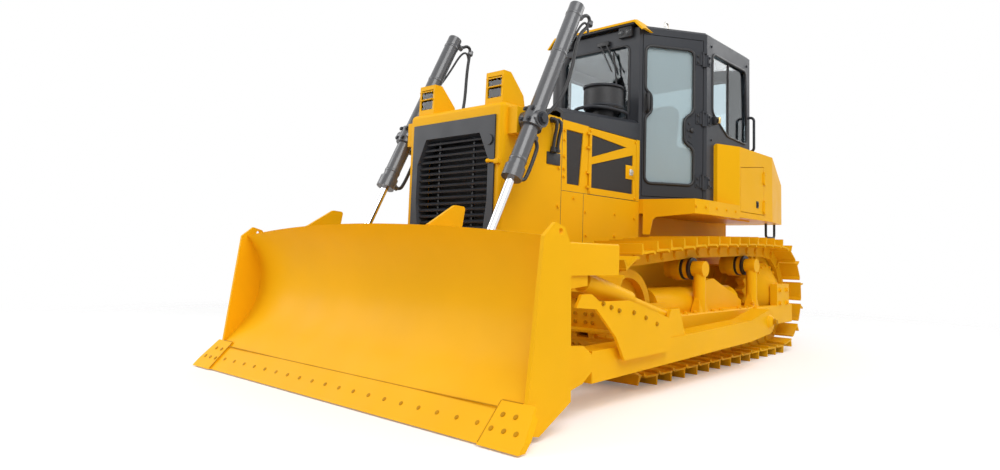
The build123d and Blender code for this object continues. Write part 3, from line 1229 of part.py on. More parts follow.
PIECES = {
    "track_left": track_left, "track_right": track_right, "sprockets": sprockets,
    "final_drives": final_drives, "idlers": idlers, "track_rollers": track_rollers,
    "carrier_rollers": carrier_rollers, "track_frame_left": track_frame_left,
    "track_frame_right": track_frame_right, "pivot_shaft": pivot_shaft, "equalizer_bar": equalizer_bar,
    "main_frame": main_frame, "engine_block": engine_block, "radiator_guard": radiator_guard,
    "radiator_core": radiator_core, "grille": grille, "lamp_housings": lamp_housings,
    "lamp_lenses": lamp_lenses, "hood": hood, "engine_side_panels": engine_side_panels,
    "engine_door_left": engine_door_left, "engine_door_right": engine_door_right,
    "exhaust_stack": exhaust_stack, "air_precleaner": air_precleaner, "deck": deck,
    "cab_frame": cab_frame, "cab_roof": cab_roof, "cab_visors": cab_visors, "cab_glass": cab_glass,
    "cab_door_left": cab_door_left, "cab_door_glass_left": cab_door_glass_left,
    "cab_door_right": cab_door_right, "cab_door_glass_right": cab_door_glass_right, "seat": seat,
    "consoles": consoles, "fuel_tank": fuel_tank, "tank_door_left": tank_door_left,
    "tank_door_right": tank_door_right, "handrails": handrails, "drawbar": drawbar,
    "trunnion_bushings": trunnion_bushings, "push_arm_left": push_arm_left,
    "push_arm_right": push_arm_right, "blade": blade, "blade_frame": blade_frame,
    "cutting_edge": cutting_edge,
    "tilt_guard": tilt_guard, "lift_cylinder_left": lift_cylinder_left,
    "lift_cylinder_right": lift_cylinder_right, "lift_rod_left": lift_rod_left,
    "lift_rod_right": lift_rod_right, "tilt_cylinder": tilt_cylinder, "tilt_rod": tilt_rod,
    "tilt_brace": tilt_brace,
}
for name, piece in PIECES.items():
    piece.part.label = name
    export_step(piece.part, f"parts/{name}.step")
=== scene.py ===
import json
import math

import bmesh
import bpy
from bpy.props import FloatProperty, FloatVectorProperty, PointerProperty
from mathutils import Matrix, Vector


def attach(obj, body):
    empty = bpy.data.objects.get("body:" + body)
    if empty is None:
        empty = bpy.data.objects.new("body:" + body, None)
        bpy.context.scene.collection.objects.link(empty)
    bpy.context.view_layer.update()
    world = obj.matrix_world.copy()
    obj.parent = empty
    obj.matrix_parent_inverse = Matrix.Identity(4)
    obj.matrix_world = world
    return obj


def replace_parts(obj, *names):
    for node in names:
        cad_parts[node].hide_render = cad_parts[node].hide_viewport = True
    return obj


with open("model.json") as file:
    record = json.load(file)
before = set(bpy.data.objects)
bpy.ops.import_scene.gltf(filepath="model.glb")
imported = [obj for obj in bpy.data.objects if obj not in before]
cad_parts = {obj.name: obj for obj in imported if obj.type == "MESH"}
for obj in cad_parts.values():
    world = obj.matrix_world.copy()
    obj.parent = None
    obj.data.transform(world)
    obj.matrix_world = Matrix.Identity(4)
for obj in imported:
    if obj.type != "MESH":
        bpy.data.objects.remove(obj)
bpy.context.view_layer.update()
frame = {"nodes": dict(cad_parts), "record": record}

bl_info = {
    "name": "Crawler Dozer Looks",
    "version": (1, 0, 0),
    "blender": (4, 5, 0),
    "location": "View3D > Sidebar > Dozer",
    "description": "Finishes, small fittings, stage and camera for a crawler dozer",
    "category": "Object",
}

# Places are in metres: X from the sprocket axis, Y to the machine's left, Z from the floor. Those of paired
# fittings are for the left side. Turned profiles are (radius, height), boxes two corners and an edge radius.
# Sprocket axis along the machine, as the model has it
SX = -1.765
SIDES = (("left", 1), ("right", -1))
UP = (0, 0, 1)
# How far off a face the line that seeks a fitting's seat starts
CAST_REACH = 0.15
# Radius of a fastener's head, by its place or size
HEAD = {
    "edge": 0.011, "end_bit": 0.012, "shoe": 0.013, "pin": 0.03, "cover": 0.013, "frame_end": 0.02,
    "frame_top": 0.016, "trunnion": 0.022, "small": 0.011, "guard": 0.012, "light": 0.01, "lock": 0.013,
    "pivot_cap": 0.036, "collar": 0.014,
}
# Radius of a bar, pipe or seal
BAR = {
    "edge_seam": 0.0035, "door_seal": 0.014, "seal": 0.012, "handle": 0.014, "window_bar": 0.011, "eye": 0.009,
    "wiper_arm": 0.007, "wiper_blade": 0.008, "pipe": 0.014, "stay": 0.009, "lamp_bar": 0.005, "guard": 0.015,
}
# Floor disc: where it starts to fade, where it is gone, its edge, and light added where the camera sees it
FLOOR_FADE = 3.2
FLOOR_GONE = 8.5
FLOOR_EDGE = 9.0
FLOOR_LIFT = 0.14
# Lamps, in the model's own frame: name, place, size and share of the power; and the point they look at
LAMPS = (
    ("key_lamp", (4.5, 7.0, 8.5), 7.0, 1.15),
    ("fill_lamp", (6.5, -6.0, 4.5), 6.0, 0.55),
    ("rim_lamp", (-7.0, 3.0, 7.0), 5.0, 0.4),
)
LAMP_AIM = Vector((0.0, 0.0, 1.2))
# Camera: width of the sensor in millimetres, shift of the picture in shares of it, and how far it sees
SENSOR_WIDE = 36
LENS_SHIFT = (-0.0658, -0.0417)
VIEW_END = 200


class DozerFinishes(bpy.types.PropertyGroup):
    """Colours and gloss of the painted and bare surfaces."""

    yellow: FloatVectorProperty(
        name="Machine yellow", description="Enamel on blade, body and running gear",
        subtype="COLOR", size=3, min=0, max=1, default=(0.93, 0.475, 0.006))
    grey: FloatVectorProperty(
        name="Dark grey", description="Enamel on cab, mask and hood",
        subtype="COLOR", size=3, min=0, max=1, default=(0.036, 0.039, 0.046))
    rubber: FloatVectorProperty(
        name="Rubber", description="Seals, pipes and plastic fittings",
        subtype="COLOR", size=3, min=0, max=1, default=(0.018, 0.018, 0.02))
    glass: FloatVectorProperty(
        name="Glass tint", description="Safety glass of the cab",
        subtype="COLOR", size=3, min=0, max=1, default=(0.72, 0.82, 0.86))
    gloss: FloatProperty(
        name="Enamel roughness", description="Roughness of the yellow enamel",
        subtype="FACTOR", min=0.05, max=0.9, default=0.36)


class DozerStage(bpy.types.PropertyGroup):
    """Camera and light."""

    lens: FloatProperty(
        name="Focal length", description="Lens that gives the picture's perspective",
        subtype="DISTANCE_CAMERA", unit="CAMERA", min=10, max=200, default=24.06)
    eye: FloatVectorProperty(
        name="Camera place", description="Where the camera stands",
        subtype="XYZ", unit="LENGTH", size=3, default=(5.0054, 3.8173, 0.9095))
    yaw: FloatProperty(
        name="Yaw", description="Turn of the view from straight back", subtype="ANGLE", default=0.681)
    pitch: FloatProperty(name="Pitch", description="Upward tilt of the view", subtype="ANGLE", default=0.095)
    roll: FloatProperty(name="Roll", description="Lean of the view", subtype="ANGLE", default=0.0251)
    key_power: FloatProperty(
        name="Key light", description="Power that the lamps' shares are taken of",
        subtype="POWER", unit="POWER", default=590)
    sky: FloatProperty(
        name="Sky light", description="Strength of the even light all round", min=0, default=0.42)


def add_node(tree, kind, links=(), **values):
    """One node in a tree: its settings, its sockets' values and what feeds them."""
    made = tree.nodes.new(kind)
    for key, value in values.items():
        if key in made.bl_rna.properties:
            setattr(made, key, value)
        else:
            made.inputs[key.replace("_", " ")].default_value = value
    for socket, source in dict(links).items():
        tree.links.new(source, made.inputs[socket])
    return made


class Shader:
    """Small builder for one node material on Object coordinates."""

    def __init__(self, name):
        self.material = bpy.data.materials.new(name)
        self.material.use_nodes = True
        self.tree = self.material.node_tree
        self.base = self.tree.nodes["Principled BSDF"]
        self.where = self.tree.nodes.new("ShaderNodeTexCoord").outputs["Object"]

    def node(self, kind, links=(), **values):
        return add_node(self.tree, kind, links, **values)

    def noise(self, scale, detail=3.0, stretch=(1, 1, 1)):
        spread = self.node("ShaderNodeMapping", {"Vector": self.where}, Scale=stretch).outputs["Vector"]
        return self.node("ShaderNodeTexNoise", {"Vector": spread}, Scale=scale, Detail=detail).outputs["Fac"]

    def ranged(self, source, low, high, start=0.35, end=0.65):
        values = {"From_Min": start, "From_Max": end, "To_Min": low, "To_Max": high}
        return self.node("ShaderNodeMapRange", {"Value": source}, **values).outputs["Result"]

    def blend(self, factor, one, two):
        made = self.node("ShaderNodeMix", data_type="RGBA")
        self.tree.links.new(factor, made.inputs["Factor"])
        for socket, value in ((6, one), (7, two)):
            if isinstance(value, bpy.types.NodeSocket):
                self.tree.links.new(value, made.inputs[socket])
            else:
                made.inputs[socket].default_value = (*value, 1)
        return made.outputs[2]

    def set(self, **values):
        for key, value in values.items():
            socket = self.base.inputs[key.replace("_", " ")]
            if isinstance(value, bpy.types.NodeSocket):
                self.tree.links.new(value, socket)
            else:
                socket.default_value = value
        return self

    def bump(self, height, strength, distance):
        made = self.node("ShaderNodeBump", {"Height": height}, Strength=strength, Distance=distance)
        return self.set(Normal=made.outputs["Normal"])


# Colour of dry dust on the running gear
DUST = (0.36, 0.25, 0.12)


def darker(colour, share):
    """A colour scaled towards black."""
    return tuple(channel * share for channel in colour)


def enamel(name, colour, roughness, drift=0.95, grain=420.0, dust=0.0, shine=0.06):
    """Sprayed enamel with slow colour drift, uneven gloss and orange peel."""
    make = Shader(name)
    tone = make.blend(make.ranged(make.noise(1.6), 0, 1), colour, darker(colour, drift))
    if dust:
        height = make.node("ShaderNodeSeparateXYZ", {"Vector": make.where}).outputs["Z"]
        low = make.ranged(height, dust, 0, start=0.05, end=0.9)
        cloud = make.ranged(make.noise(9.0, detail=6.0), 0, 1, start=0.42, end=0.7)
        both = make.node("ShaderNodeMath", {0: low, 1: cloud}, operation="MULTIPLY")
        tone = make.blend(both.outputs[0], tone, DUST)
    make.set(Base_Color=tone, Roughness=make.ranged(make.noise(5.0), roughness - 0.03, roughness + 0.05))
    make.set(Specular_IOR_Level=shine)
    make.bump(make.noise(grain, detail=2.0), strength=0.05, distance=0.0008)
    return make.material


def cast(name, colour, roughness, shine=0.5):
    """Painted casting with a coarse skin."""
    make = Shader(name)
    make.set(Specular_IOR_Level=shine)
    tone = make.blend(make.ranged(make.noise(5.0), 0, 1), colour, darker(colour, 0.8))
    make.set(Base_Color=tone, Roughness=make.ranged(make.noise(30.0), roughness - 0.08, roughness + 0.08))
    make.bump(make.noise(160.0, detail=4.0), strength=0.22, distance=0.0015)
    return make.material


def bare_metal(name, colour, roughness):
    """Ground or chromed steel with fine draw marks."""
    make = Shader(name)
    marks = make.noise(60.0, detail=4.0, stretch=(30.0, 30.0, 1.0))
    make.set(Base_Color=(*colour, 1), Metallic=1.0)
    make.set(Roughness=make.ranged(marks, roughness * 0.7, roughness * 1.4))
    make.bump(marks, strength=0.04, distance=0.0003)
    return make.material


def moulded(name, colour, roughness):
    """Grained rubber or plastic."""
    make = Shader(name)
    pits = make.node("ShaderNodeTexVoronoi", {"Vector": make.where}, Scale=520.0).outputs["Distance"]
    tone = make.blend(make.ranged(make.noise(7.0), 0, 1), colour, darker(colour, 0.7))
    make.set(Base_Color=tone, Roughness=make.ranged(make.noise(40.0), roughness - 0.07, roughness + 0.07))
    make.bump(pits, strength=0.12, distance=0.0006)
    return make.material


def clear_glass(name, colour, roughness, clear=1.0):
    """Tinted pane with a trace of dust; a less clear one shows its pale tint, a painted reflection."""
    make = Shader(name)
    make.set(Base_Color=(*colour, 1), Transmission_Weight=clear, IOR=1.45)
    haze = make.noise(3.5, detail=5.0)
    make.set(Roughness=make.ranged(haze, roughness, roughness + 0.05, start=0.45, end=0.8))
    return make.material


def woven(name, colour):
    """Seat cloth: two sets of threads."""
    make = Shader(name)
    threads = []
    for axis in ("Y", "Z"):
        threads.append(make.node(
            "ShaderNodeTexWave", {"Vector": make.where}, Scale=190.0, Distortion=0.6,
            bands_direction=axis).outputs["Fac"])
    weave = make.node("ShaderNodeMath", dict(enumerate(threads)), operation="MAXIMUM")
    make.set(Base_Color=make.blend(weave.outputs[0], darker(colour, 0.55), colour), Roughness=0.9)
    make.set(Sheen_Weight=0.25)
    make.bump(weave.outputs[0], strength=0.35, distance=0.0012)
    return make.material


def punched(name, colour):
    """Dark steel sheet with rows of small round holes; the holes are painted near-black as the shade seen
    through them.
    """
    make = Shader(name)
    holes = make.node(
        "ShaderNodeTexVoronoi", {"Vector": make.where}, Scale=105.0, Randomness=0.0).outputs["Distance"]
    hole_shade = make.ranged(holes, 0, 1, start=0.3, end=0.36)
    # The holes are near-black spots on a solid sheet: painted shade.
    make.set(Base_Color=make.blend(hole_shade, darker(colour, 0.15), colour), Roughness=0.5)
    make.set(Specular_IOR_Level=0.15)
    make.bump(hole_shade, strength=0.5, distance=0.003)
    return make.material


def finned(name, colour):
    """Radiator core: thin upright fins, with painted shade in the gaps between them."""
    make = Shader(name)
    fins = make.node(
        "ShaderNodeTexWave", {"Vector": make.where}, Scale=110.0, bands_direction="Y").outputs["Fac"]
    # The dark bands are painted shade between the fins.
    make.set(Base_Color=make.blend(fins, darker(colour, 0.35), colour), Metallic=0.6, Roughness=0.5)
    make.bump(fins, strength=0.6, distance=0.003)
    return make.material


FINISH = {}
# Solids that show another finish than their slot's: door panes made half milky and pale, a painted reflection
# of the sky; a painted tilt rod; and lift cylinders in a lighter grey than the cab's enamel, painted light for
# their highlights
NODE_FINISH = {
    "cab_door_glass_left": "door_glass",
    "cab_door_glass_right": "door_glass",
    "tilt_rod": "yellow_paint",
    "lift_cylinder_left": "lit_cylinder_grey",
    "lift_cylinder_right": "lit_cylinder_grey",
}


def mix_finishes():
    """Makes one material for each slot of the record, and the ones that only fittings use."""
    colours = bpy.context.scene.dozer_finishes
    yellow, grey, rubber = tuple(colours.yellow), tuple(colours.grey), tuple(colours.rubber)
    FINISH.update({
        "yellow_paint": enamel("yellow_enamel", yellow, colours.gloss),
        "track": enamel("track_enamel", darker(yellow, 0.93), 0.46, drift=0.84, grain=240.0, dust=0.22),
        "running_gear": enamel("gear_enamel", darker(yellow, 0.95), 0.42, drift=0.86, grain=260.0, dust=0.12),
        "grey_paint": enamel("grey_enamel", grey, 0.4, drift=0.9, grain=300.0, shine=0.25),
        "engine_iron": cast("engine_iron", (0.12, 0.12, 0.125), 0.55),
        "radiator_fin": finned("radiator_fins", (0.05, 0.05, 0.052)),
        "lens_glass": clear_glass("lamp_glass", (0.92, 0.94, 0.96), 0.02),
        "exhaust_steel": cast("exhaust_paint", (0.05, 0.05, 0.054), 0.5),
        "black_plastic": moulded("black_plastic", rubber, 0.5),
        "tinted_glass": clear_glass("safety_glass", tuple(colours.glass), 0.01),
        "seat_cloth": woven("seat_cloth", (0.035, 0.036, 0.04)),
        "chrome_rod": bare_metal("hard_chrome", (0.8, 0.8, 0.82), 0.12),
        "seal": moulded("rubber_seal", rubber, 0.45),
        # Door panes: half clear with a pale blue-grey tint, a painted reflection of the sky on them.
        "door_glass": clear_glass("door_glass", (0.56, 0.69, 0.73), 0.02, clear=0.5),
        "punched_plate": punched("punched_plate", (0.05, 0.047, 0.046)),
        # Bolt heads take a darker, duller orange than the enamel: painted shade, as of the shadowed recesses
        # round them. The seams of the cutting edge share this finish.
        "bolt_paint": cast("bolt_recess_shade", (0.6, 0.275, 0.004), 0.5, shine=0.08),
        # Lift cylinders: a lighter copy of the grey enamel. The lighter base is painted light that stands in
        # for the barrels' highlights; the higher gloss is real.
        "lit_cylinder_grey": enamel(
            "lit_cylinder_enamel", (0.085, 0.087, 0.094), 0.24, drift=0.88, grain=300.0, shine=0.7),
        "brass": bare_metal("brass", (0.62, 0.42, 0.14), 0.35),
        "bright_steel": bare_metal("zinc_steel", (0.62, 0.6, 0.55), 0.3),
    })


class DOZER_OT_finishes(bpy.types.Operator):
    """Give every solid of the model its finish"""

    bl_idname = "dozer.finishes"
    bl_label = "Finishes"

    def execute(self, context):
        mix_finishes()
        for part in frame["record"]["subparts"]:
            node = frame["nodes"][part["node"]]
            node.data.materials.clear()
            node.data.materials.append(FINISH[NODE_FINISH.get(part["node"], part["material_slot"])])
        return {"FINISHED"}


def at(x, y, z):
    """Point whose place along the machine is measured from the sprocket axis."""
    return Vector((SX + x, y, z))


def mirrored(place, sign):
    """Point given for the left side, on the side that the sign tells."""
    x, y, z = place
    return at(x, sign * y, z)


def add_piece(name, body, slot, mesh, finish=None):
    """Links a mesh as a piece that rides on a body and takes a slot's finish."""
    mesh.materials.clear()
    mesh.materials.append(FINISH[finish or slot])
    made = bpy.data.objects.new(name, mesh)
    bpy.context.scene.collection.objects.link(made)
    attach(made, body)
    return made


def keep(name, body, slot, shape, finish=None, smooth=35):
    """Turns a bmesh into a piece with outward normals and soft shading."""
    mesh = bpy.data.meshes.new(name)
    bmesh.ops.recalc_face_normals(shape, faces=shape.faces)
    shape.to_mesh(mesh)
    shape.free()
    mesh.shade_smooth()
    mesh.set_sharp_from_angle(angle=math.radians(smooth))
    return add_piece(name, body, slot, mesh, finish)


def block(shape, low, high, soft=0.004):
    """Box between two corners with softened edges."""
    low, high = Vector(map(min, low, high)), Vector(map(max, low, high))
    fit = Matrix.Translation((low + high) / 2) @ Matrix.Diagonal((*(high - low), 1))
    made = bmesh.ops.create_cube(shape, size=1, matrix=fit)
    edges = list({edge for vert in made["verts"] for edge in vert.link_edges})
    bmesh.ops.bevel(shape, geom=edges, offset=soft, segments=2, profile=0.5, affect="EDGES")


def plate(shape, outline, thick, soft=0.002):
    """Flat plate: a loop of points and its thickness as a vector."""
    face = shape.faces.new([shape.verts.new(point) for point in outline])
    made = bmesh.ops.extrude_face_region(shape, geom=[face])["geom"]
    grown = [item for item in made if isinstance(item, bmesh.types.BMVert)]
    bmesh.ops.translate(shape, verts=grown, vec=Vector(thick))
    rim = {edge for vert in grown for edge in vert.link_edges if edge.other_vert(vert) in grown}
    bmesh.ops.bevel(shape, geom=list(rim), offset=soft, segments=1, affect="EDGES")


def turned(shape, profile, place, out, segments):
    """Turns a profile about a line that starts at a place and runs along a direction."""
    fit = Matrix.Translation(place) @ Vector(out).to_track_quat("Z", "Y").to_matrix().to_4x4()
    rings = []
    for radius, height in profile:
        count = segments if radius else 1
        angles = [2 * math.pi * k / count for k in range(count)]
        spots = [Vector((radius * math.cos(a), radius * math.sin(a), height)) for a in angles]
        rings.append([shape.verts.new(fit @ spot) for spot in spots])
    for one, two in zip(rings, rings[1:]):
        for k in range(segments):
            j = (k + 1) % segments
            loop = [one[k % len(one)], one[j % len(one)], two[j % len(two)], two[k % len(two)]]
            shape.faces.new(dict.fromkeys(loop))
    bmesh.ops.remove_doubles(shape, verts=[vert for ring in rings for vert in ring], dist=1e-6)


def built(name, body, slot, boxes=(), turns=(), sign=1, finish=None):
    """Piece made of boxes, mirrored by the sign, and of turned forms (profile, place, direction, segments)."""
    shape = bmesh.new()
    for low, high, soft in boxes:
        block(shape, mirrored(low, sign), mirrored(high, sign), soft)
    for turn in turns:
        turned(shape, *turn)
    return keep(name, body, slot, shape, finish)


def rounded(outline, radius, steps=5):
    """Flat loop of points with each corner turned into an arc."""
    loop = []
    for k, corner in enumerate(outline):
        before = outline[k - 1] - corner
        after = outline[(k + 1) % len(outline)] - corner
        reach = min(radius, 0.45 * before.length, 0.45 * after.length)
        before.normalize()
        after.normalize()
        half = before.angle(after) / 2
        middle = corner + (before + after).normalized() * reach / math.cos(half)
        start, end = corner + before * reach - middle, corner + after * reach - middle
        for step in range(steps + 1):
            way = start.lerp(end, step / steps).normalized()
            loop.append(middle + way * start.length)
    return loop


def tube(name, body, slot, points, radius, closed=False, curved=False, finish=None):
    """Round bar or pipe along points, straight between them or as one smooth curve."""
    curve = bpy.data.curves.new(name, "CURVE")
    curve.dimensions = "3D"
    curve.bevel_depth = radius
    curve.bevel_resolution = 3
    curve.use_fill_caps = not closed
    spline = curve.splines.new("NURBS" if curved else "POLY")
    spline.points.add(len(points) - 1)
    for point, place in zip(spline.points, points):
        point.co = (*place, 1)
    spline.use_cyclic_u = closed
    if curved:
        spline.order_u = 3
        spline.use_endpoint_u = True
        spline.resolution_u = 6
    carrier = bpy.data.objects.new(name, curve)
    mesh = bpy.data.meshes.new_from_object(carrier)
    bpy.data.objects.remove(carrier)
    bpy.data.curves.remove(curve)
    mesh.shade_smooth()
    mesh.set_sharp_from_angle(angle=math.radians(40))
    return add_piece(name, body, slot, mesh, finish)


def fastener_tree():
    """Node group: a head on a washer at each point, turned along "facing" and scaled by "size"."""
    tree = bpy.data.node_groups.new("fastener_set", "GeometryNodeTree")
    sockets = (
        ("Points", "NodeSocketGeometry"), ("Sides", "NodeSocketInt"), ("Head height", "NodeSocketFloat"),
        ("Washer radius", "NodeSocketFloat"), ("Finish", "NodeSocketMaterial"))
    for label, kind in sockets:
        tree.interface.new_socket(label, in_out="INPUT", socket_type=kind)
    tree.interface.new_socket("Fasteners", in_out="OUTPUT", socket_type="NodeSocketGeometry")
    given = add_node(tree, "NodeGroupInput").outputs
    head = add_node(tree, "GeometryNodeMeshCylinder", {
        "Vertices": given["Sides"], "Depth": given["Head height"]}, Radius=1.0)
    lift = add_node(tree, "ShaderNodeMath", {0: given["Head height"]}, operation="MULTIPLY_ADD")
    lift.inputs[1].default_value = 0.5
    lift.inputs[2].default_value = 0.22
    rise = add_node(tree, "ShaderNodeCombineXYZ", {"Z": lift.outputs[0]})
    raised = add_node(tree, "GeometryNodeTransform", {
        "Geometry": head.outputs["Mesh"], "Translation": rise.outputs[0]})
    ring = add_node(tree, "GeometryNodeMeshCylinder", {
        "Radius": given["Washer radius"]}, Vertices=14, Depth=0.25)
    washer = add_node(tree, "GeometryNodeTransform", {
        "Geometry": ring.outputs["Mesh"]}, Translation=(0, 0, 0.1))
    both = add_node(tree, "GeometryNodeJoinGeometry")
    for part in (raised, washer):
        tree.links.new(part.outputs[0], both.inputs[0])
    out = add_node(tree, "GeometryNodeInputNamedAttribute", data_type="FLOAT_VECTOR", Name="facing")
    turn = add_node(tree, "FunctionNodeAlignRotationToVector", {
        "Vector": out.outputs["Attribute"]}, axis="Z")
    size = add_node(tree, "GeometryNodeInputNamedAttribute", data_type="FLOAT", Name="size")
    spread = add_node(tree, "GeometryNodeInstanceOnPoints", {
        "Points": given["Points"], "Instance": both.outputs[0],
        "Rotation": turn.outputs[0], "Scale": size.outputs["Attribute"]})
    real = add_node(tree, "GeometryNodeRealizeInstances", {"Geometry": spread.outputs[0]})
    coat = add_node(tree, "GeometryNodeSetMaterial", {
        "Geometry": real.outputs[0], "Material": given["Finish"]})
    end = add_node(tree, "NodeGroupOutput")
    tree.links.new(coat.outputs[0], end.inputs[0])
    return tree


def fasten(name, body, slot, spots, finish=None, sides=6, head=0.9, washer=1.4):
    """Puts a fastener on every spot (place, direction, radius) and keeps them as one plain mesh."""
    cloud = bpy.data.meshes.new(name)
    cloud.from_pydata([spot[0] for spot in spots], [], [])
    cloud.attributes.new("facing", "FLOAT_VECTOR", "POINT")
    cloud.attributes.new("size", "FLOAT", "POINT")
    for k, (_, out, radius) in enumerate(spots):
        cloud.attributes["facing"].data[k].vector = Vector(out).normalized()
        cloud.attributes["size"].data[k].value = radius
    carrier = bpy.data.objects.new(name, cloud)
    bpy.context.scene.collection.objects.link(carrier)
    spread = carrier.modifiers.new("fasteners", "NODES")
    spread.node_group = bpy.data.node_groups.get("fastener_set") or fastener_tree()
    values = {"Sides": sides, "Head height": head, "Washer radius": washer, "Finish": FINISH[finish or slot]}
    for item in spread.node_group.interface.items_tree:
        if item.name in values:
            spread[item.identifier] = values[item.name]
    ready = carrier.evaluated_get(bpy.context.evaluated_depsgraph_get())
    mesh = bpy.data.meshes.new_from_object(ready)
    carrier.modifiers.remove(spread)
    bpy.data.objects.remove(carrier)
    return add_piece(name, body, slot, mesh, finish)


def seated(place, out, radius, *nodes):
    """Spot (place, direction, radius) where a line onto some solids first meets a face."""
    out = Vector(out).normalized()
    casts = [frame["nodes"][node].ray_cast(Vector(place) + out * CAST_REACH, -out) for node in nodes]
    found = [where for hit, where, _, _ in casts if hit]
    if not found:
        raise RuntimeError(f"{nodes} have no face under a fitting at {tuple(place)}")
    return max(found, key=out.dot), out, radius


# Wheels that the track chain runs round: X, Z and the radius to the pin centres
SPROCKET = (0.0, 0.574, 0.437)
IDLER = (2.583, 0.517, 0.38)
CARRIERS = ((1.62, 0.838, 0.14), (0.56, 0.872, 0.14))
PIN_COUNT = 38
ARC_STEPS = 60
# Shoe bolts: shares of a shoe's pitch, places across the machine, and height over the pins
SHOE_BOLT_SHARES = (0.38, 0.66)
SHOE_BOLT_ACROSS = (0.835, 0.895, 0.985, 1.045)
SHOE_BOLT_RISE = 0.072
# Pin ends and carrier seals: places across the machine, and which way an end faces
PIN_ENDS = ((1.0375, 1), (0.8425, -1))
CARRIER_SEALS = (0.92, 0.99, 1.055)
CARRIER_SEAL = ((0.06, -0.012), (0.094, -0.012), (0.096, 0), (0.094, 0.012), (0.06, 0.012), (0.06, -0.012))


def pin_loop():
    """Pin centres of the track chain (X, Z), spread evenly round its wheels."""
    wheels = (SPROCKET, IDLER, *CARRIERS)
    angles = []
    for one, two in zip(wheels, wheels[1:] + wheels[:1]):
        far = math.hypot(two[0] - one[0], two[1] - one[1])
        angle = math.atan2(two[1] - one[1], two[0] - one[0]) - math.acos((one[2] - two[2]) / far)
        while angles and angle < angles[-1]:
            angle += 2 * math.pi
        angles.append(angle)
    path = []
    for k, angle in enumerate(angles):
        following = (k + 1) % len(wheels)
        sweep = (angles[following] - angle) % (2 * math.pi)
        arc = [(*wheels[following], angle + sweep * n / ARC_STEPS) for n in range(ARC_STEPS + 1)]
        for x, z, radius, turn in ((*wheels[k], angle), *arc):
            path.append((x + radius * math.cos(turn), z + radius * math.sin(turn)))
    path.append(path[0])
    lengths = [math.dist(one, two) for one, two in zip(path, path[1:])]
    pins = []
    for k in range(PIN_COUNT):
        left = sum(lengths) * k / PIN_COUNT
        for one, two, length in zip(path, path[1:], lengths):
            if left <= length:
                share = left / length
                pins.append((one[0] + (two[0] - one[0]) * share, one[1] + (two[1] - one[1]) * share))
                break
            left -= length
    return pins


class DOZER_OT_track_fittings(bpy.types.Operator):
    """Shoe bolts, pin ends and carrier roller seals of both tracks"""

    bl_idname = "dozer.track_fittings"
    bl_label = "Track fittings"

    def execute(self, context):
        pins = pin_loop()
        for side, sign in SIDES:
            bolts, ends = [], []
            for k, one in enumerate(pins):
                two = pins[(k + 1) % len(pins)]
                step = Vector((two[0] - one[0], 0, two[1] - one[1]))
                out = Vector((step.z, 0, -step.x)).normalized()
                for share in SHOE_BOLT_SHARES:
                    for across in SHOE_BOLT_ACROSS:
                        start = at(one[0], sign * across, one[1])
                        bolts.append((start + step * share + out * SHOE_BOLT_RISE, out, HEAD["shoe"]))
                for across, way in PIN_ENDS:
                    ends.append((at(one[0], sign * across, one[1]), (0, sign * way, 0), HEAD["pin"]))
            fasten(f"{side}_shoe_bolts", "machine", "track", bolts, "bolt_paint", head=0.7, washer=1.0)
            fasten(f"{side}_pin_ends", "machine", "track", ends, sides=12, head=0.25, washer=1.25)
            rings = [(CARRIER_SEAL, at(x, sign * across, z), (0, 1, 0), 32)
                     for x, z, _ in CARRIERS for across in CARRIER_SEALS]
            built(f"{side}_carrier_seals", "machine", "black_plastic", turns=rings, finish="seal")
        return {"FINISHED"}


# Cutting edge: its toe, the way its face points, its half width, and lengths up its slope
EDGE_TOE_X = 4.455
EDGE_TOE_Z = 0.01
EDGE_OUT = (0.743, 0, 0.669)
EDGE_HALF = 1.44
EDGE_LONG = 0.2
END_BIT_LONG = 0.24
# Bolts and seams of the edge: (up the slope, across)
EDGE_BOLT_GAPS = 18
EDGE_BOLTS = tuple((0.1, -1.36 + 2.72 * k / EDGE_BOLT_GAPS) for k in range(EDGE_BOLT_GAPS + 1))
END_BIT_BOLTS = ((0.165, 1.5), (0.165, 1.585), (0.085, 1.475), (0.085, 1.56), (0.085, 1.64))
EDGE_SEAM = ((EDGE_LONG, -EDGE_HALF), (EDGE_LONG, EDGE_HALF))
END_BIT_SEAMS = (
    ((0.004, EDGE_HALF), (END_BIT_LONG - 0.004, EDGE_HALF)),
    ((END_BIT_LONG, 1.445), (END_BIT_LONG, 1.585)))
SEAM_SINK = 0.001
# Final drive cover's bolt circle
COVER_BOLTS = 18
COVER_RADIUS = 0.295
# Bolts (X, Z) on faces that look sideways, and X on the track frame's top
FRAME_END_BOLTS = ((0.09, 0.63), (-0.09, 0.63), (0.09, 0.5), (-0.09, 0.5))
FRAME_TOP_BOLTS = (0.62, 0.78, 0.94, 1.3, 1.46, 1.78, 1.94, 2.08)
TRUNNION_BOLT = (0.9, 0.38)
ARM_GUSSET_BOLTS = (
    (3.539, 0.643), (3.456, 0.617), (3.371, 0.594), (3.208, 0.575), (3.068, 0.535), (2.93, 0.488))
PANEL_BOLTS = (
    *((2.735, z) for z in (1.905, 1.83, 1.7, 1.6, 1.54)),
    (2.445, 1.28), (2.024, 1.288), (1.72, 1.27), (2.432, 1.09), (2.026, 1.1), (1.72, 1.09), (2.6, 1.38))
GUARD_BOLTS = tuple((2.8, z) for z in (1.85, 1.6, 1.3, 1.05, 0.8))
ENGINE_DOOR_BOLTS = ((2.395, 1.96), (1.715, 1.96), (2.395, 1.45), (1.715, 1.45))
CAB_WALL_BOLTS = tuple((x, z) for z in (2.98, 2.06, 1.6) for x in (0.98, 0.17))
# Deck bolts (X, Y) and their height
DECK_BOLTS = ((1.5, 1.02), (1.35, 1.05), (1.15, 1.05), (0.95, 1.05), (0.75, 1.05))
DECK_BOLT_Z = 1.385
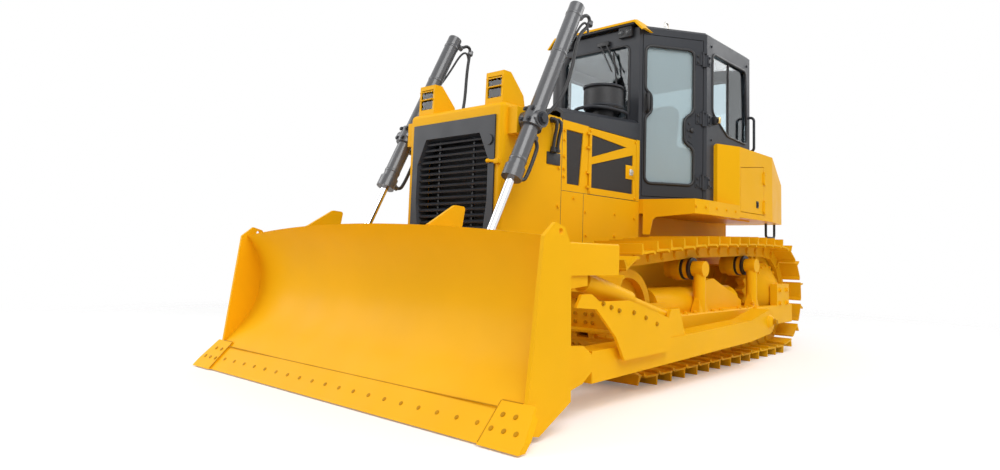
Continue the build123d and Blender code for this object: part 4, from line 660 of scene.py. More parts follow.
# Where the faces with these bolts lie; except on hinge leaves, the exact seat is sought on the solids
FRAME_TOP_Y = 1.165
FRAME_TOP_Z = 0.48
FRAME_END_Y = 1.22
COVER_Y = 1.0
ARM_Y = 1.5
PANEL_Y = 0.519
CAB_Y = 0.905
LEAF_Y = 0.912


def edge_spot(up, across):
    """Point on the cutting edge's front, measured up its slope."""
    return at(EDGE_TOE_X - EDGE_OUT[2] * up, across, EDGE_TOE_Z + EDGE_OUT[0] * up)


def side_spots(node, places, y, sign, radius):
    """Fastener spots (X, Z) on a solid's face that looks sideways."""
    return [seated(at(x, sign * y, z), (0, sign, 0), radius, node) for x, z in places]


class DOZER_OT_fasteners(bpy.types.Operator):
    """Bolts of the blade, arms, final drives, panels and cab, and the seams of the cutting edge"""

    bl_idname = "dozer.fasteners"
    bl_label = "Fasteners"

    def execute(self, context):
        self.blade()
        for side, sign in SIDES:
            self.running_gear(side, sign)
            self.panels(side, sign)
            self.cab(side, sign)
        return {"FINISHED"}

    def blade(self):
        spots = [seated(edge_spot(*place), EDGE_OUT, HEAD["edge"], "cutting_edge") for place in EDGE_BOLTS]
        runs = [EDGE_SEAM]
        for _, sign in SIDES:
            for up, across in END_BIT_BOLTS:
                spots.append(seated(edge_spot(up, sign * across), EDGE_OUT, HEAD["end_bit"], "cutting_edge"))
            runs += [[(up, sign * across) for up, across in seam] for seam in END_BIT_SEAMS]
        fasten("edge_bolts", "blade", "yellow_paint", spots, "bolt_paint", sides=14, head=0.14, washer=1.12)
        for k, (one, two) in enumerate(runs):
            line = []
            for share in (0, 0.25, 0.5, 0.75, 1):
                spot = edge_spot(*Vector(one).lerp(Vector(two), share))
                where, way, _ = seated(spot, EDGE_OUT, 0, "cutting_edge", "blade")
                line.append(where - way * SEAM_SINK)
            tube(f"edge_seam_{k + 1}", "blade", "yellow_paint", line, BAR["edge_seam"], finish="bolt_paint")

    def running_gear(self, side, sign):
        turns = [2 * math.pi * (k + 0.5) / COVER_BOLTS for k in range(COVER_BOLTS)]
        hub = SPROCKET[1]
        circle = [(COVER_RADIUS * math.cos(turn), hub + COVER_RADIUS * math.sin(turn)) for turn in turns]
        frame_node = f"track_frame_{side}"
        gear = side_spots("final_drives", circle, COVER_Y, sign, HEAD["cover"])
        gear += side_spots(frame_node, FRAME_END_BOLTS, FRAME_END_Y, sign, HEAD["frame_end"])
        for x in FRAME_TOP_BOLTS:
            gear.append(seated(at(x, sign * FRAME_TOP_Y, FRAME_TOP_Z), UP, HEAD["frame_top"], frame_node))
        fasten(f"{side}_gear_bolts", "machine", "yellow_paint", gear)
        arm = side_spots(f"push_arm_{side}", [TRUNNION_BOLT], ARM_Y, sign, HEAD["trunnion"])
        if side == "left":
            arm += side_spots("push_arm_left", ARM_GUSSET_BOLTS, ARM_Y, sign, HEAD["small"])
        fasten(f"{side}_arm_bolts", f"{side}_arm", "yellow_paint", arm, "bolt_paint")

    def panels(self, side, sign):
        spots = side_spots("engine_side_panels", PANEL_BOLTS, PANEL_Y, sign, HEAD["small"])
        spots += side_spots("radiator_guard", GUARD_BOLTS, PANEL_Y, sign, HEAD["guard"])
        for x, y in DECK_BOLTS:
            spots += side_spots("deck", [(x, DECK_BOLT_Z)], y, sign, HEAD["small"])
        fasten(f"{side}_panel_bolts", "machine", "yellow_paint", spots)
        door = side_spots(f"engine_door_{side}", ENGINE_DOOR_BOLTS, PANEL_Y, sign, HEAD["light"])
        fasten(f"{side}_engine_door_bolts", f"{side}_engine_door", "yellow_paint", door)

    def cab(self, side, sign):
        spots, leaf = [], []
        for middle in HINGES:
            for z in (middle - HINGE_BOLT_RISE, middle + HINGE_BOLT_RISE):
                spots.append((at(POST_BOLT_X, sign * LEAF_Y, z), (0, sign, 0), HEAD["small"]))
                leaf.append((on_door(LEAF_BOLT_AT, z, LEAF_RISE, sign), door_out(sign), HEAD["small"]))
        spots += side_spots("cab_frame", CAB_WALL_BOLTS, CAB_Y, sign, HEAD["light"])
        fasten(f"{side}_cab_bolts", "machine", "grey_paint", spots)
        for u, z in LOCK_BOLTS:
            leaf.append((on_door(u, z, 0.0, sign), door_out(sign), HEAD["lock"]))
        fasten(f"{side}_door_bolts", f"{side}_cab_door", "grey_paint", leaf, "seal")


# Cab doors: front edge (X, Y), and their slant in plan as cosine and sine
DOOR_FRONT = (1.64, 0.5)
DOOR_COS = 0.8128
DOOR_SIN = 0.5826
# On a cab door, places are (distance back from its front edge, Z)
DOOR_PANE = (
    (0.066, 1.605), (0.066, 2.221), (0.128, 2.271), (0.128, 2.431), (0.066, 2.481), (0.066, 2.9),
    (0.56, 2.9), (0.56, 2.301), (0.462, 2.241), (0.462, 2.011), (0.56, 1.951), (0.56, 1.605))
LOCK_PLATE = ((0.475, 2.03), (0.555, 1.985), (0.555, 2.265), (0.475, 2.222))
LOCK_BOLTS = ((0.51, 2.19), (0.5, 2.126), (0.52, 2.07))
LOCK_KNOB_AT = (0.535, 2.126, 0.004)
LOCK_KNOB = ((0, 0), (0.022, 0), (0.024, 0.012), (0.018, 0.022), (0.008, 0.026), (0, 0.026))
HANDLE_PLATE = ((0.05, 2.245), (0.112, 2.28), (0.112, 2.425), (0.05, 2.46))
# Door handle: its line on the door, and its (Z, distance off the face)
HANDLE_AT = 0.08
HANDLE = ((2.27, 0.005), (2.275, 0.04), (2.3, 0.05), (2.4, 0.05), (2.43, 0.04), (2.435, 0.005))
# Hinges: heights, a leaf's half height and place on the door, and its bolts there and on the post
HINGES = (1.64, 2.245, 2.82)
HINGE_HALF = 0.055
HINGE_LEAF = (0.575, 0.645)
HINGE_BOLT_RISE = 0.03
LEAF_BOLT_AT = 0.6
LEAF_RISE = 0.007
POST_BOLT_X = 1.035
POST_LEAF = ((1.062, 0.903), (1.008, LEAF_Y))
PLATE_SINK = 0.001
# Panes of the cab: (X, Z) of the side one, then X, half width, foot and top of the flat ones
SIDE_PANE = ((0.96, 2.33), (0.96, 2.915), (0.2, 2.915), (0.17, 2.33), (0.18, 2.13), (0.64, 2.15))
FLAT_PANES = (("screen_seal", 1.64, 0.39, 2.215, 2.915), ("rear_seal", 0.02, 0.62, 2.13, 2.885))
# Corner radii of the panes, and how far a door's seal stands out
DOOR_CORNER = 0.06
SIDE_CORNER = 0.05
SEAL_RISE = 0.002
# Catch that holds an open door, with its roller
DOOR_CATCH = (
    ((0.965, 0.9, 2.215), (0.915, 0.95, 2.29), 0.008),
    ((0.955, 0.945, 2.235), (0.925, 0.972, 2.27), 0.005))
CATCH_ROLLER_AT = (0.94, 0.968, 2.2525)
CATCH_ROLLER = ((0, -0.03), (0.012, -0.03), (0.014, -0.026), (0.014, 0.026), (0.012, 0.03), (0, 0.03))
# Bar across the side window: X, Y, foot and top
WINDOW_BAR = (0.58, 0.886, 2.145, 2.915)
# Lifting eyes: places along the roof, across it, and the (X, Z) of the bent bar
LIFTING_EYES = (("front", 1.42), ("rear", 0.5))
LIFTING_EYE_Y = 0.66
LIFTING_EYE = ((-0.035, 3.09), (-0.035, 3.12), (-0.02, 3.138), (0.02, 3.138), (0.035, 3.12), (0.035, 3.09))
# Front visor: its cross section (Y, Z), and where along the machine it stands and droops
VISOR_FOLD = (
    (-0.58, 3.035), (-0.485, 3.138), (0.485, 3.138), (0.58, 3.035),
    (0.565, 3.027), (0.478, 3.118), (-0.478, 3.118), (-0.565, 3.027))
VISOR_SECTIONS = ((1.42, 0.012), (1.66, 0.0), (1.705, 0.012))
VISOR_LINING = (
    ((1.63, -0.472, 3.09), (1.695, 0.472, 3.122), 0.003),
    *(((1.63, y - 0.075, 2.985), (1.68, y + 0.075, 3.093), 0.01) for y in (0.36, -0.36)))
REAR_VISOR = ((-0.05, -0.7, 2.94), (0.03, 0.7, 3.08), 0.02)
VISOR_LAMP_X = 1.68
VISOR_LAMP_Z = 3.035
VISOR_LAMPS = (0.4, 0.32, -0.32, -0.4)
VISOR_LENS = ((0, 0), (0.03, 0), (0.03, 0.006), (0.022, 0.012), (0, 0.015))
# Wiper: motor, the Y of its two arms, an arm's ends from there, and the blade
WIPER_MOTOR = (((1.636, 0.03, 2.945), (1.675, 0.17, 2.99), 0.008),)
WIPER_ARMS = (("left", 0.134), ("right", 0.063))
WIPER_ARM = ((1.67, 0.0, 2.97), (1.672, 0.15, 2.68))
WIPER_BLADE = ((1.658, 0.22, 2.87), (1.662, 0.25, 2.68), (1.658, 0.27, 2.44))


def on_door(u, z, out, sign):
    """Point on a cab door: u from its front edge to the hinge, out from its face."""
    x = DOOR_FRONT[0] - DOOR_COS * u + DOOR_SIN * out
    return at(x, sign * (DOOR_FRONT[1] + DOOR_SIN * u + DOOR_COS * out), z)


def door_out(sign):
    """Direction that a cab door faces."""
    return Vector((DOOR_SIN, sign * DOOR_COS, 0))


def door_plate(shape, corners, sign, radius, thick, soft=0.002):
    """Adds a plate with round corners that lies on a cab door."""
    loop = rounded([on_door(u, z, -PLATE_SINK, sign) for u, z in corners], radius, 3)
    plate(shape, loop, door_out(sign) * thick, soft)


class DOZER_OT_seals(bpy.types.Operator):
    """Rubber seals round every pane of the cab"""

    bl_idname = "dozer.seals"
    bl_label = "Window seals"

    def execute(self, context):
        for side, sign in SIDES:
            door = rounded([on_door(u, z, SEAL_RISE, sign) for u, z in DOOR_PANE], DOOR_CORNER)
            body = f"{side}_cab_door"
            tube(f"{side}_door_seal", body, "black_plastic", door, BAR["door_seal"], True, finish="seal")
            wall = rounded([at(x, sign * CAB_Y, z) for x, z in SIDE_PANE], SIDE_CORNER)
            tube(f"{side}_window_seal", "machine", "black_plastic", wall, BAR["seal"], True, finish="seal")
        for name, x, half, low, high in FLAT_PANES:
            loop = [at(x, y, z) for y, z in ((-half, low), (half, low), (half, high), (-half, high))]
            loop = rounded(loop, DOOR_CORNER)
            tube(name, "machine", "black_plastic", loop, BAR["seal"], True, finish="seal")
        return {"FINISHED"}


class DOZER_OT_cab_fittings(bpy.types.Operator):
    """Door handles, hinge leaves, locks, catches, window bars, lifting eyes, visors and wiper"""

    bl_idname = "dozer.cab_fittings"
    bl_label = "Cab fittings"

    def execute(self, context):
        for side, sign in SIDES:
            self.door(side, sign)
            self.wall(side, sign)
        self.screen()
        return {"FINISHED"}

    def door(self, side, sign):
        body = f"{side}_cab_door"
        shape = bmesh.new()
        near, far = HINGE_LEAF
        for middle in HINGES:
            low, high = middle - HINGE_HALF, middle + HINGE_HALF
            leaf = ((near, low), (far, low), (far, high), (near, high))
            door_plate(shape, leaf, sign, radius=0.012, thick=0.008)
        door_plate(shape, LOCK_PLATE, sign, radius=0.02, thick=0.007)
        keep(f"{side}_hinge_leaves", body, "grey_paint", shape)
        shape = bmesh.new()
        door_plate(shape, HANDLE_PLATE, sign, radius=0.02, thick=0.01, soft=0.003)
        keep(f"{side}_handle_plate", body, "black_plastic", shape)
        grip = [on_door(HANDLE_AT, z, rise, sign) for z, rise in HANDLE]
        tube(f"{side}_door_handle", body, "black_plastic", grip, BAR["handle"], curved=True)
        knob = (LOCK_KNOB, on_door(*LOCK_KNOB_AT, sign), door_out(sign), 20)
        built(f"{side}_lock_knob", body, "black_plastic", turns=[knob])

    def wall(self, side, sign):
        front, rear = POST_LEAF
        leaves = [((*front, z - HINGE_HALF), (*rear, z + HINGE_HALF), 0.003) for z in HINGES]
        built(f"{side}_post_leaves", "machine", "grey_paint", leaves, sign=sign)
        built(f"{side}_door_catch", "machine", "black_plastic", DOOR_CATCH, sign=sign)
        roller = (CATCH_ROLLER, mirrored(CATCH_ROLLER_AT, sign), UP, 16)
        built(f"{side}_catch_roller", "machine", "chrome_rod", turns=[roller], finish="brass")
        x, y, foot, top = WINDOW_BAR
        bar = [at(x, sign * y, z) for z in (foot, top)]
        tube(f"{side}_window_bar", "machine", "black_plastic", bar, BAR["window_bar"])
        for name, x in LIFTING_EYES:
            eye = [at(x + ahead, sign * LIFTING_EYE_Y, z) for ahead, z in LIFTING_EYE]
            tube(f"{side}_{name}_lifting_eye", "machine", "chrome_rod", eye, BAR["eye"],
                 curved=True, finish="bright_steel")

    def screen(self):
        built("wiper_motor", "machine", "black_plastic", WIPER_MOTOR)
        built("visor_lining", "machine", "black_plastic", VISOR_LINING)
        shape = bmesh.new()
        ends = []
        for x, droop in VISOR_SECTIONS:
            ends.append([shape.verts.new(at(x, y, z - droop)) for y, z in VISOR_FOLD])
        for one, two in zip(ends, ends[1:]):
            for k in range(len(VISOR_FOLD)):
                j = (k + 1) % len(VISOR_FOLD)
                shape.faces.new((one[k], one[j], two[j], two[k]))
        for ring in (ends[0], ends[-1]):
            for k in range(3):
                shape.faces.new((ring[k], ring[k + 1], ring[6 - k], ring[7 - k]))
        low, high, soft = REAR_VISOR
        block(shape, at(*low), at(*high), soft)
        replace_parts(keep("visors", "machine", "yellow_paint", shape), "cab_visors")
        lamps = [(VISOR_LENS, at(VISOR_LAMP_X, y, VISOR_LAMP_Z), (1, 0, 0), 18) for y in VISOR_LAMPS]
        built("visor_lamps", "machine", "lens_glass", turns=lamps)
        for name, y in WIPER_ARMS:
            arm = [at(x, y + along, z) for x, along, z in WIPER_ARM]
            tube(f"{name}_wiper_arm", "machine", "black_plastic", arm, BAR["wiper_arm"])
        blade = [at(*place) for place in WIPER_BLADE]
        tube("wiper_blade", "machine", "black_plastic", blade, BAR["wiper_blade"])


# Punched plates of the engine's side: outlines (X, Z), inner face, thickness and share of the opening
DOOR_MESH = (
    ((2.369, 1.93), (1.854, 1.895), (2.369, 1.74)),
    ((2.369, 1.68), (1.746, 1.84), (1.746, 1.485), (2.369, 1.485)))
FIXED_MESH = (((2.69, 1.485), (2.71, 1.92), (2.49, 1.92), (2.53, 1.485)),)
MESH_Y = 0.5065
MESH_THICK = 0.006
MESH_SHARE = 0.985
# Latch of an engine door, dark seams between panels, and the plate that the nose pipes run to
LATCH_PLATE = (
    ((1.715, 0.512, 1.615), (1.86, 0.5205, 1.74), 0.003),
    ((1.735, 0.519, 1.635), (1.84, 0.525, 1.72), 0.003))
LATCH = (
    ((1.76, 0.523, 1.65), (1.815, 0.53, 1.705), 0.003),
    ((1.775, 0.528, 1.665), (1.79, 0.545, 1.69), 0.003))
PANEL_SEAMS = (
    ((2.758, 0.515, 1.0), (2.762, 0.5198, 1.99), 0.0003),
    ((1.65, 0.515, 1.4265), (2.76, 0.5198, 1.4295), 0.0003),
    ((2.47, 0.515, 1.0), (2.474, 0.5198, 1.425), 0.0003))
HOSE_PLATE = (((2.785, 0.516, 1.615), (2.945, 0.526, 1.71), 0.003),)
# Nose pipes: X of each, and the (Y, Z) of a pipe's bends and of the unions at its ends
NOSE_PIPES = (2.85, 2.9)
NOSE_UNIONS = ((0.515, 1.96), (0.545, 1.71))
NOSE_PIPE = ((0.53, 1.96), (0.575, 1.955), (0.58, 1.9), (0.555, 1.82), (0.545, 1.73))
NOSE_UNION = ((0, 0), (0.024, 0), (0.024, 0.02), (0.019, 0.022), (0.019, 0.04), (0, 0.04))
# Lamp housings: bars across the lenses, and the bolts in the right wall of each
LAMP_BAR_X = 3.398
LAMP_BAR_Y = (0.305, 0.455)
LAMP_BARS = (2.135, 2.198)
LAMP_BOLT_X = 3.36
LAMP_Y = 0.38
LAMP_HALF = 0.09
LAMP_BOLTS = (2.09, 2.15, 2.2)
# Catch of the mask: its foot, and its lever's place, direction and profile
MASK_CATCH = (((3.425, 0.462, 1.555), (3.455, 0.51, 1.59), 0.005),)
MASK_LEVER_AT = (3.442, 0.47, 1.573)
MASK_LEVER_OUT = (0.15, -1, 0.1)
MASK_LEVER = ((0, 0), (0.011, 0), (0.011, 0.055), (0.015, 0.06), (0.015, 0.075), (0.009, 0.082), (0, 0.082))
# Pre-cleaner: its axis, its bands' heights and profile, and the bar round its foot
CLEANER_AT = (1.96, 0.33)
CLEANER_BANDS = (2.255, 2.432)
CLEANER_BAND = ((0, -0.01), (0.183, -0.01), (0.187, -0.006), (0.187, 0.006), (0.183, 0.01), (0, 0.01))
CLEANER_GUARD = (
    (2.18, 0.14, 2.1), (2.18, 0.16, 2.2), (2.2, 0.24, 2.225), (2.19, 0.42, 2.22),
    (2.08, 0.48, 2.22), (1.86, 0.49, 2.225), (1.76, 0.47, 2.215), (1.74, 0.42, 2.12))


class DOZER_OT_engine_fittings(bpy.types.Operator):
    """Punched plates, latches, seams, nose pipes, lamp bars, mask catch, pre-cleaner bands and guard"""

    bl_idname = "dozer.engine_fittings"
    bl_label = "Engine fittings"

    def execute(self, context):
        for side, sign in SIDES:
            self.side(side, sign)
            self.lamp(side, sign)
        self.mask()
        self.cleaner()
        return {"FINISHED"}

    def side(self, side, sign):
        door = f"{side}_engine_door"
        for name, body, outlines in (("door", door, DOOR_MESH), ("fixed", "machine", FIXED_MESH)):
            shape = bmesh.new()
            for outline in outlines:
                middle = sum((Vector(point) for point in outline), Vector((0, 0))) / len(outline)
                inner = [middle.lerp(Vector(point), MESH_SHARE) for point in outline]
                plate(shape, [at(x, sign * MESH_Y, z) for x, z in inner], (0, sign * MESH_THICK, 0))
            keep(f"{side}_{name}_mesh", body, "grey_paint", shape, "punched_plate")
        built(f"{side}_latch_plate", door, "yellow_paint", LATCH_PLATE, sign=sign)
        built(f"{side}_latch", door, "chrome_rod", LATCH, sign=sign, finish="bright_steel")
        built(f"{side}_panel_seams", "machine", "black_plastic", PANEL_SEAMS, sign=sign, finish="seal")
        unions = []
        for x in NOSE_PIPES:
            for (y, z), way in zip(NOSE_UNIONS, ((0, sign, 0), UP)):
                unions.append((NOSE_UNION, at(x, sign * y, z), way, 6))
        built(f"{side}_hose_plate", "machine", "black_plastic", HOSE_PLATE, unions, sign)
        for k, x in enumerate(NOSE_PIPES):
            run = [at(x, sign * y, z) for y, z in NOSE_PIPE]
            tube(f"{side}_nose_pipe_{k + 1}", "machine", "black_plastic", run, BAR["pipe"], curved=True)

    def lamp(self, side, sign):
        for k, z in enumerate(LAMP_BARS):
            bar = [at(LAMP_BAR_X, sign * y, z) for y in LAMP_BAR_Y]
            tube(f"{side}_lamp_bar_{k + 1}", "machine", "yellow_paint", bar, BAR["lamp_bar"])
        wall = sign * LAMP_Y - LAMP_HALF
        spots = [(at(LAMP_BOLT_X, wall, z), (0, -1, 0), HEAD["light"]) for z in LAMP_BOLTS]
        fasten(f"{side}_lamp_bolts", "machine", "yellow_paint", spots, "bolt_paint")

    def mask(self):
        lever = (MASK_LEVER, at(*MASK_LEVER_AT), MASK_LEVER_OUT, 16)
        built("mask_catch", "machine", "yellow_paint", MASK_CATCH, [lever])

    def cleaner(self):
        for k, z in enumerate(CLEANER_BANDS):
            band = (CLEANER_BAND, at(*CLEANER_AT, z), UP, 40)
            built(f"cleaner_band_{k + 1}", "machine", "black_plastic", turns=[band], finish="grey_paint")
        rail = [at(*place) for place in CLEANER_GUARD]
        tube("cleaner_guard", "machine", "black_plastic", rail, BAR["guard"], curved=True, finish="grey_paint")


# Lift cylinders: pivot, and the way down the barrel as sine and cosine of its lean
LIFT_PIVOT = (3.306, 0.7, 1.87)
LIFT_SIN = 0.4305
LIFT_COS = 0.9026
# By a barrel, places are (along it from the pivot, behind it); the top pipe bows out more on the right
PIPE_BOW = {"left": 0.2, "right": 0.4}
PIPE_ACROSS = -0.01
GLAND_PIPE = ((0.44, 0.06), (0.44, 0.125), (0.36, 0.14), (0.2, 0.14), (0.12, 0.13), (0.1, 0.07))
TOP_PIPE_START = ((-1.04, 0.05), (-1.06, 0.1), (-1.11, 0.13), (-1.12, 0.175), (-1.06, 0.2))
TOP_PIPE_BOW = ((-0.9, 0.62), (-0.62, 0.92), (-0.42, 1.0), (-0.2, 0.75))
TOP_PIPE_END = (-0.05, 0.07)
PIPE_STAY = ((-1.0, 0.215), (-1.07, 0.17), (-1.0, 0.11), (-0.75, 0.085), (-0.6, 0.055))
BACK_UNIONS = ((0.44, 0.055), (0.1, 0.055), (-0.05, 0.06), (-1.04, 0.055))
END_UNION = (-1.06, 0.2)
PIPE_UNION = ((0, 0), (0.026, 0), (0.026, 0.022), (0.021, 0.024), (0.021, 0.045), (0, 0.045))
CLAMPS = (-0.98, -0.6, 0.34)
CLAMP_BAND = (
    (0.0585, -0.012), (0.061, -0.012), (0.063, -0.009), (0.063, 0.009),
    (0.061, 0.012), (0.0585, 0.012), (0.0585, -0.012))
# Pivot caps stand this far to each side, and the collar's bolts this far off its middle
PIVOT_CAP_ACROSS = 0.085
COLLAR_BOLTS = tuple((along, across) for along in (-0.045, 0.045) for across in (-0.035, 0.035))
COLLAR_FRONT = -0.078


def on_barrel(along, behind, across, sign):
    """Point by a lift barrel: along its axis from the pivot, behind it, and across the machine."""
    x, y, z = LIFT_PIVOT
    down = LIFT_COS * along + LIFT_SIN * behind
    return at(x + LIFT_SIN * along - LIFT_COS * behind, sign * (y + across), z - down)


class DOZER_OT_hydraulics(bpy.types.Operator):
    """Pipes, unions, clamps and pivot caps of the lift cylinders"""

    bl_idname = "dozer.hydraulics"
    bl_label = "Hydraulic fittings"

    def execute(self, context):
        down = Vector((LIFT_SIN, 0, -LIFT_COS))
        back = Vector((-LIFT_COS, 0, -LIFT_SIN))
        for side, sign in SIDES:
            body = f"{side}_lift_barrel"
            bow = [(along, PIPE_BOW[side] * share) for along, share in TOP_PIPE_BOW]
            runs = (
                ("gland_pipe", GLAND_PIPE, BAR["pipe"]),
                ("top_pipe", (*TOP_PIPE_START, *bow, TOP_PIPE_END), BAR["pipe"]),
                ("pipe_stay", PIPE_STAY, BAR["stay"]))
            for name, run, radius in runs:
                points = [on_barrel(along, behind, PIPE_ACROSS, sign) for along, behind in run]
                tube(f"{side}_{name}", body, "black_plastic", points, radius, curved=True)
            turns = [(PIPE_UNION, on_barrel(*place, PIPE_ACROSS, sign), back, 6) for place in BACK_UNIONS]
            turns.append((PIPE_UNION, on_barrel(*END_UNION, PIPE_ACROSS, sign), -down, 6))
            turns += [(CLAMP_BAND, on_barrel(along, 0, 0, sign), down, 28) for along in CLAMPS]
            built(f"{side}_pipe_unions", body, "grey_paint", turns=turns, finish="lit_cylinder_grey")
            spots = []
            for way in (1, -1):
                cap = on_barrel(0, 0, way * PIVOT_CAP_ACROSS, sign)
                spots.append((cap, (0, way * sign, 0), HEAD["pivot_cap"]))
            for along, across in COLLAR_BOLTS:
                spots.append((on_barrel(along, COLLAR_FRONT, across, sign), -back, HEAD["collar"]))
            fasten(f"{side}_pivot_caps", body, "grey_paint", spots, head=0.5, washer=1.35)
        return {"FINISHED"}


# Tank fittings: where they are sought on the solids, and their forms about that spot
FILLER_AT = (-0.08, 0.82, 2.03)
FILLER_CAP = (
    (0, -0.004), (0.085, -0.004), (0.085, 0.012), (0.062, 0.018), (0.062, 0.05), (0.054, 0.058), (0, 0.06))
FILLER_GRIP = ((-0.055, -0.01, 0.055), (0.055, 0.01, 0.078), 0.005)
TANK_LATCH_AT = (0.24, 1.06, 1.49)
TANK_LATCH = (
    ((-0.025, -0.002, -0.035), (0.025, 0.006, 0.035), 0.002),
    ((-0.009, 0, -0.022), (0.009, 0.016, 0.022), 0.004))


class DOZER_OT_tank_fittings(bpy.types.Operator):
    """Filler cap and door latches of the tank"""

    bl_idname = "dozer.tank_fittings"
    bl_label = "Tank fittings"

    def execute(self, context):
        top, out, _ = seated(at(*FILLER_AT), UP, 0, "fuel_tank")
        shape = bmesh.new()
        turned(shape, FILLER_CAP, top, out, 32)
        low, high, soft = FILLER_GRIP
        block(shape, top + Vector(low), top + Vector(high), soft)
        keep("filler_cap", "machine", "yellow_paint", shape)
        for side, sign in SIDES:
            face, _, _ = seated(mirrored(TANK_LATCH_AT, sign), (0, sign, 0), 0, f"tank_door_{side}")
            shape = bmesh.new()
            turn = Vector((1, sign, 1))
            for low, high, soft in TANK_LATCH:
                block(shape, face + Vector(low) * turn, face + Vector(high) * turn, soft)
            keep(f"{side}_tank_latch", f"{side}_tank_door", "black_plastic", shape)
        return {"FINISHED"}


# Pads, formed on a cube from -1 to 1: squareness, cuts, draw of the sides, start of the face, sewn channels
PAD_POWER = 7
PAD_CUTS = 19
PAD_DRAW = 0.05
PAD_FACE = 0.6
CHANNEL_DEEP = 0.012
CHANNEL_WIDE = 0.06
CHANNELS = (-0.45, 0.45)
# Seat: middle, size and crown of its pads, lean of the back in degrees, and the boxes of its base
SEAT_AT = (0.74, 0, 1.88)
SEAT_SIZE = (0.5, 0.5, 0.115)
SEAT_CROWN = 0.02
BACK_AT = (0.48, 0, 2.25)
BACK_SIZE = (0.7, 0.47, 0.11)
BACK_CROWN = 0.018
BACK_LEAN = 80
SEAT_BASE = (
    ((0.53, -0.19, 1.48), (0.91, 0.19, 1.56), 0.012),
    ((0.57, -0.16, 1.56), (0.87, 0.16, 1.77), 0.02),
    ((0.5, -0.22, 1.77), (0.96, 0.22, 1.825), 0.012))


def cushion(name, place, size, crown):
    """Foam pad: a rounded closed form, crowned, sides drawn in, with sewn channels across its face."""
    shape = bmesh.new()
    bmesh.ops.create_cube(shape, size=2)
    bmesh.ops.subdivide_edges(shape, edges=shape.edges[:], cuts=PAD_CUTS, use_grid_fill=True)
    for vert in shape.verts:
        swell = sum(abs(value) ** PAD_POWER for value in vert.co) ** (-1 / PAD_POWER)
        a, b, c = vert.co * swell
        draw = 1 - PAD_DRAW * (1 - min(1, c * c))
        rise = crown * (1 - a * a) * (1 - b * b) if c > 0 else 0
        if c > PAD_FACE:
            rise -= sum(CHANNEL_DEEP * math.exp(-((b - line) / CHANNEL_WIDE) ** 2) for line in CHANNELS)
        vert.co = place @ Vector((a * size[0] * draw / 2, b * size[1] * draw / 2, c * size[2] / 2 + rise))
    made = keep(name, "machine", "seat_cloth", shape, smooth=60)
    return made


class DOZER_OT_seat(bpy.types.Operator):
    """Driver's seat: pedestal, cushion and back"""

    bl_idname = "dozer.seat"
    bl_label = "Seat"

    def execute(self, context):
        pad = cushion("seat_cushion", Matrix.Translation(at(*SEAT_AT)), SEAT_SIZE, SEAT_CROWN)
        lean = Matrix.Translation(at(*BACK_AT)) @ Matrix.Rotation(math.radians(BACK_LEAN), 4, "Y")
        cushion("seat_back", lean, BACK_SIZE, BACK_CROWN)
        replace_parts(pad, "seat")
        built("seat_base", "machine", "black_plastic", SEAT_BASE)
        return {"FINISHED"}


class DOZER_OT_stage(bpy.types.Operator):
    """Floor, lamps, sky and camera"""

    bl_idname = "dozer.stage"
    bl_label = "Stage"

    def execute(self, context):
        scene = context.scene
        stage = scene.dozer_stage
        scene.view_settings.view_transform = "Standard"
        lay_floor()
        hang_lamps(stage)
        light_sky(stage)
        place_camera(stage)
        return {"FINISHED"}


def lay_floor():
    """Pale disc that keeps the machine's shadow and fades into the white round it."""
    mesh = bpy.data.meshes.new("floor")
    shape = bmesh.new()
    bmesh.ops.create_circle(shape, cap_ends=True, segments=96, radius=FLOOR_EDGE)
    shape.to_mesh(mesh)
    shape.free()
    floor = bpy.data.objects.new("floor", mesh)
    bpy.context.scene.collection.objects.link(floor)
    make = Shader("pale_floor")
    tone = make.blend(make.ranged(make.noise(0.7), 0, 1), (0.97, 0.97, 0.97), (0.95, 0.95, 0.955))
    make.set(Base_Color=tone, Roughness=0.8, Specular_IOR_Level=0.05)
    seen = make.node("ShaderNodeLightPath").outputs["Is Camera Ray"]
    make.set(Emission_Color=(1, 1, 1, 1), Emission_Strength=make.ranged(seen, 0, FLOOR_LIFT, 0, 1))
    far = make.node("ShaderNodeVectorMath", {"Vector": make.where}, operation="LENGTH").outputs["Value"]
    clear = make.node("ShaderNodeBsdfTransparent")
    mix = make.node("ShaderNodeMixShader", {
        0: make.ranged(far, 0, 1, FLOOR_FADE, FLOOR_GONE), 1: make.base.outputs[0], 2: clear.outputs[0]})
    make.tree.links.new(mix.outputs[0], make.tree.nodes["Material Output"].inputs["Surface"])
    mesh.materials.append(make.material)


def hang_lamps(stage):
    """Large soft lamps: key high at the camera's right, fill at its left, rim from behind."""
    for name, place, size, share in LAMPS:
        light = bpy.data.lights.new(name, "AREA")
        light.size = size
        light.energy = stage.key_power * share
        lamp = bpy.data.objects.new(name, light)
        lamp.location = place
        lamp.rotation_euler = (LAMP_AIM - Vector(place)).to_track_quat("-Z", "Y").to_euler()
        bpy.context.scene.collection.objects.link(lamp)


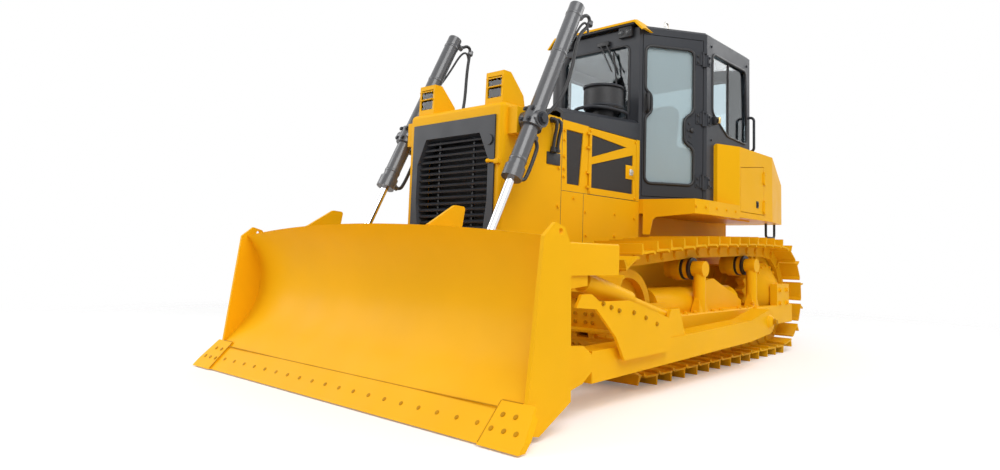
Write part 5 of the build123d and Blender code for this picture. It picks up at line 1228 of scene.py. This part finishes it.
def light_sky(stage):
    """Even sky: plain light on the machine, white where it is seen, mirrored or looked through to."""
    world = bpy.data.worlds.new("sky")
    bpy.context.scene.world = world
    world.use_nodes = True
    tree = world.node_tree
    shade = tree.nodes["Background"]
    rays = add_node(tree, "ShaderNodeLightPath").outputs
    seen = rays["Is Camera Ray"]
    for ray in ("Is Glossy Ray", "Is Transmission Ray"):
        seen = add_node(tree, "ShaderNodeMath", {0: seen, 1: rays[ray]}, operation="MAXIMUM").outputs[0]
    level = add_node(tree, "ShaderNodeMapRange", {"Value": seen}, To_Min=stage.sky, To_Max=1.0)
    tree.links.new(level.outputs["Result"], shade.inputs["Strength"])
    shade.inputs["Color"].default_value = (1, 1, 1, 1)


def place_camera(stage):
    """Camera at the picture's viewpoint."""
    data = bpy.data.cameras.new("camera")
    data.sensor_fit = "HORIZONTAL"
    data.sensor_width = SENSOR_WIDE
    data.lens = stage.lens
    data.shift_x, data.shift_y = LENS_SHIFT
    data.clip_end = VIEW_END
    camera = bpy.data.objects.new("camera", data)
    camera.matrix_world = Matrix.Translation(Vector(stage.eye))
    for angle, axis in ((math.pi / 2 + stage.yaw, "Z"), (math.pi / 2 + stage.pitch, "X"), (stage.roll, "Z")):
        camera.matrix_world = camera.matrix_world @ Matrix.Rotation(angle, 4, axis)
    bpy.context.scene.collection.objects.link(camera)
    bpy.context.scene.camera = camera


STEPS = (
    DOZER_OT_finishes, DOZER_OT_stage, DOZER_OT_track_fittings, DOZER_OT_fasteners, DOZER_OT_seals,
    DOZER_OT_cab_fittings, DOZER_OT_engine_fittings, DOZER_OT_hydraulics, DOZER_OT_tank_fittings, DOZER_OT_seat,
)


class DOZER_PT_panel(bpy.types.Panel):
    """Lists the steps that dress the machine"""

    bl_idname = "DOZER_PT_panel"
    bl_label = "Crawler Dozer"
    bl_space_type = "VIEW_3D"
    bl_region_type = "UI"
    bl_category = "Dozer"

    def draw(self, context):
        for step in STEPS:
            self.layout.operator(step.bl_idname)
        for group in (context.scene.dozer_finishes, context.scene.dozer_stage):
            for key in group.__annotations__:
                self.layout.prop(group, key)


CLASSES = (DozerFinishes, DozerStage, *STEPS, DOZER_PT_panel)


def register():
    for cls in CLASSES:
        bpy.utils.register_class(cls)
    bpy.types.Scene.dozer_finishes = PointerProperty(type=DozerFinishes)
    bpy.types.Scene.dozer_stage = PointerProperty(type=DozerStage)


def unregister():
    del bpy.types.Scene.dozer_stage
    del bpy.types.Scene.dozer_finishes
    for cls in reversed(CLASSES):
        bpy.utils.unregister_class(cls)


def main():
    register()
    for step in STEPS:
        group, name = step.bl_idname.split(".")
        getattr(getattr(bpy.ops, group), name)()


if __name__ == "__main__":
    main()
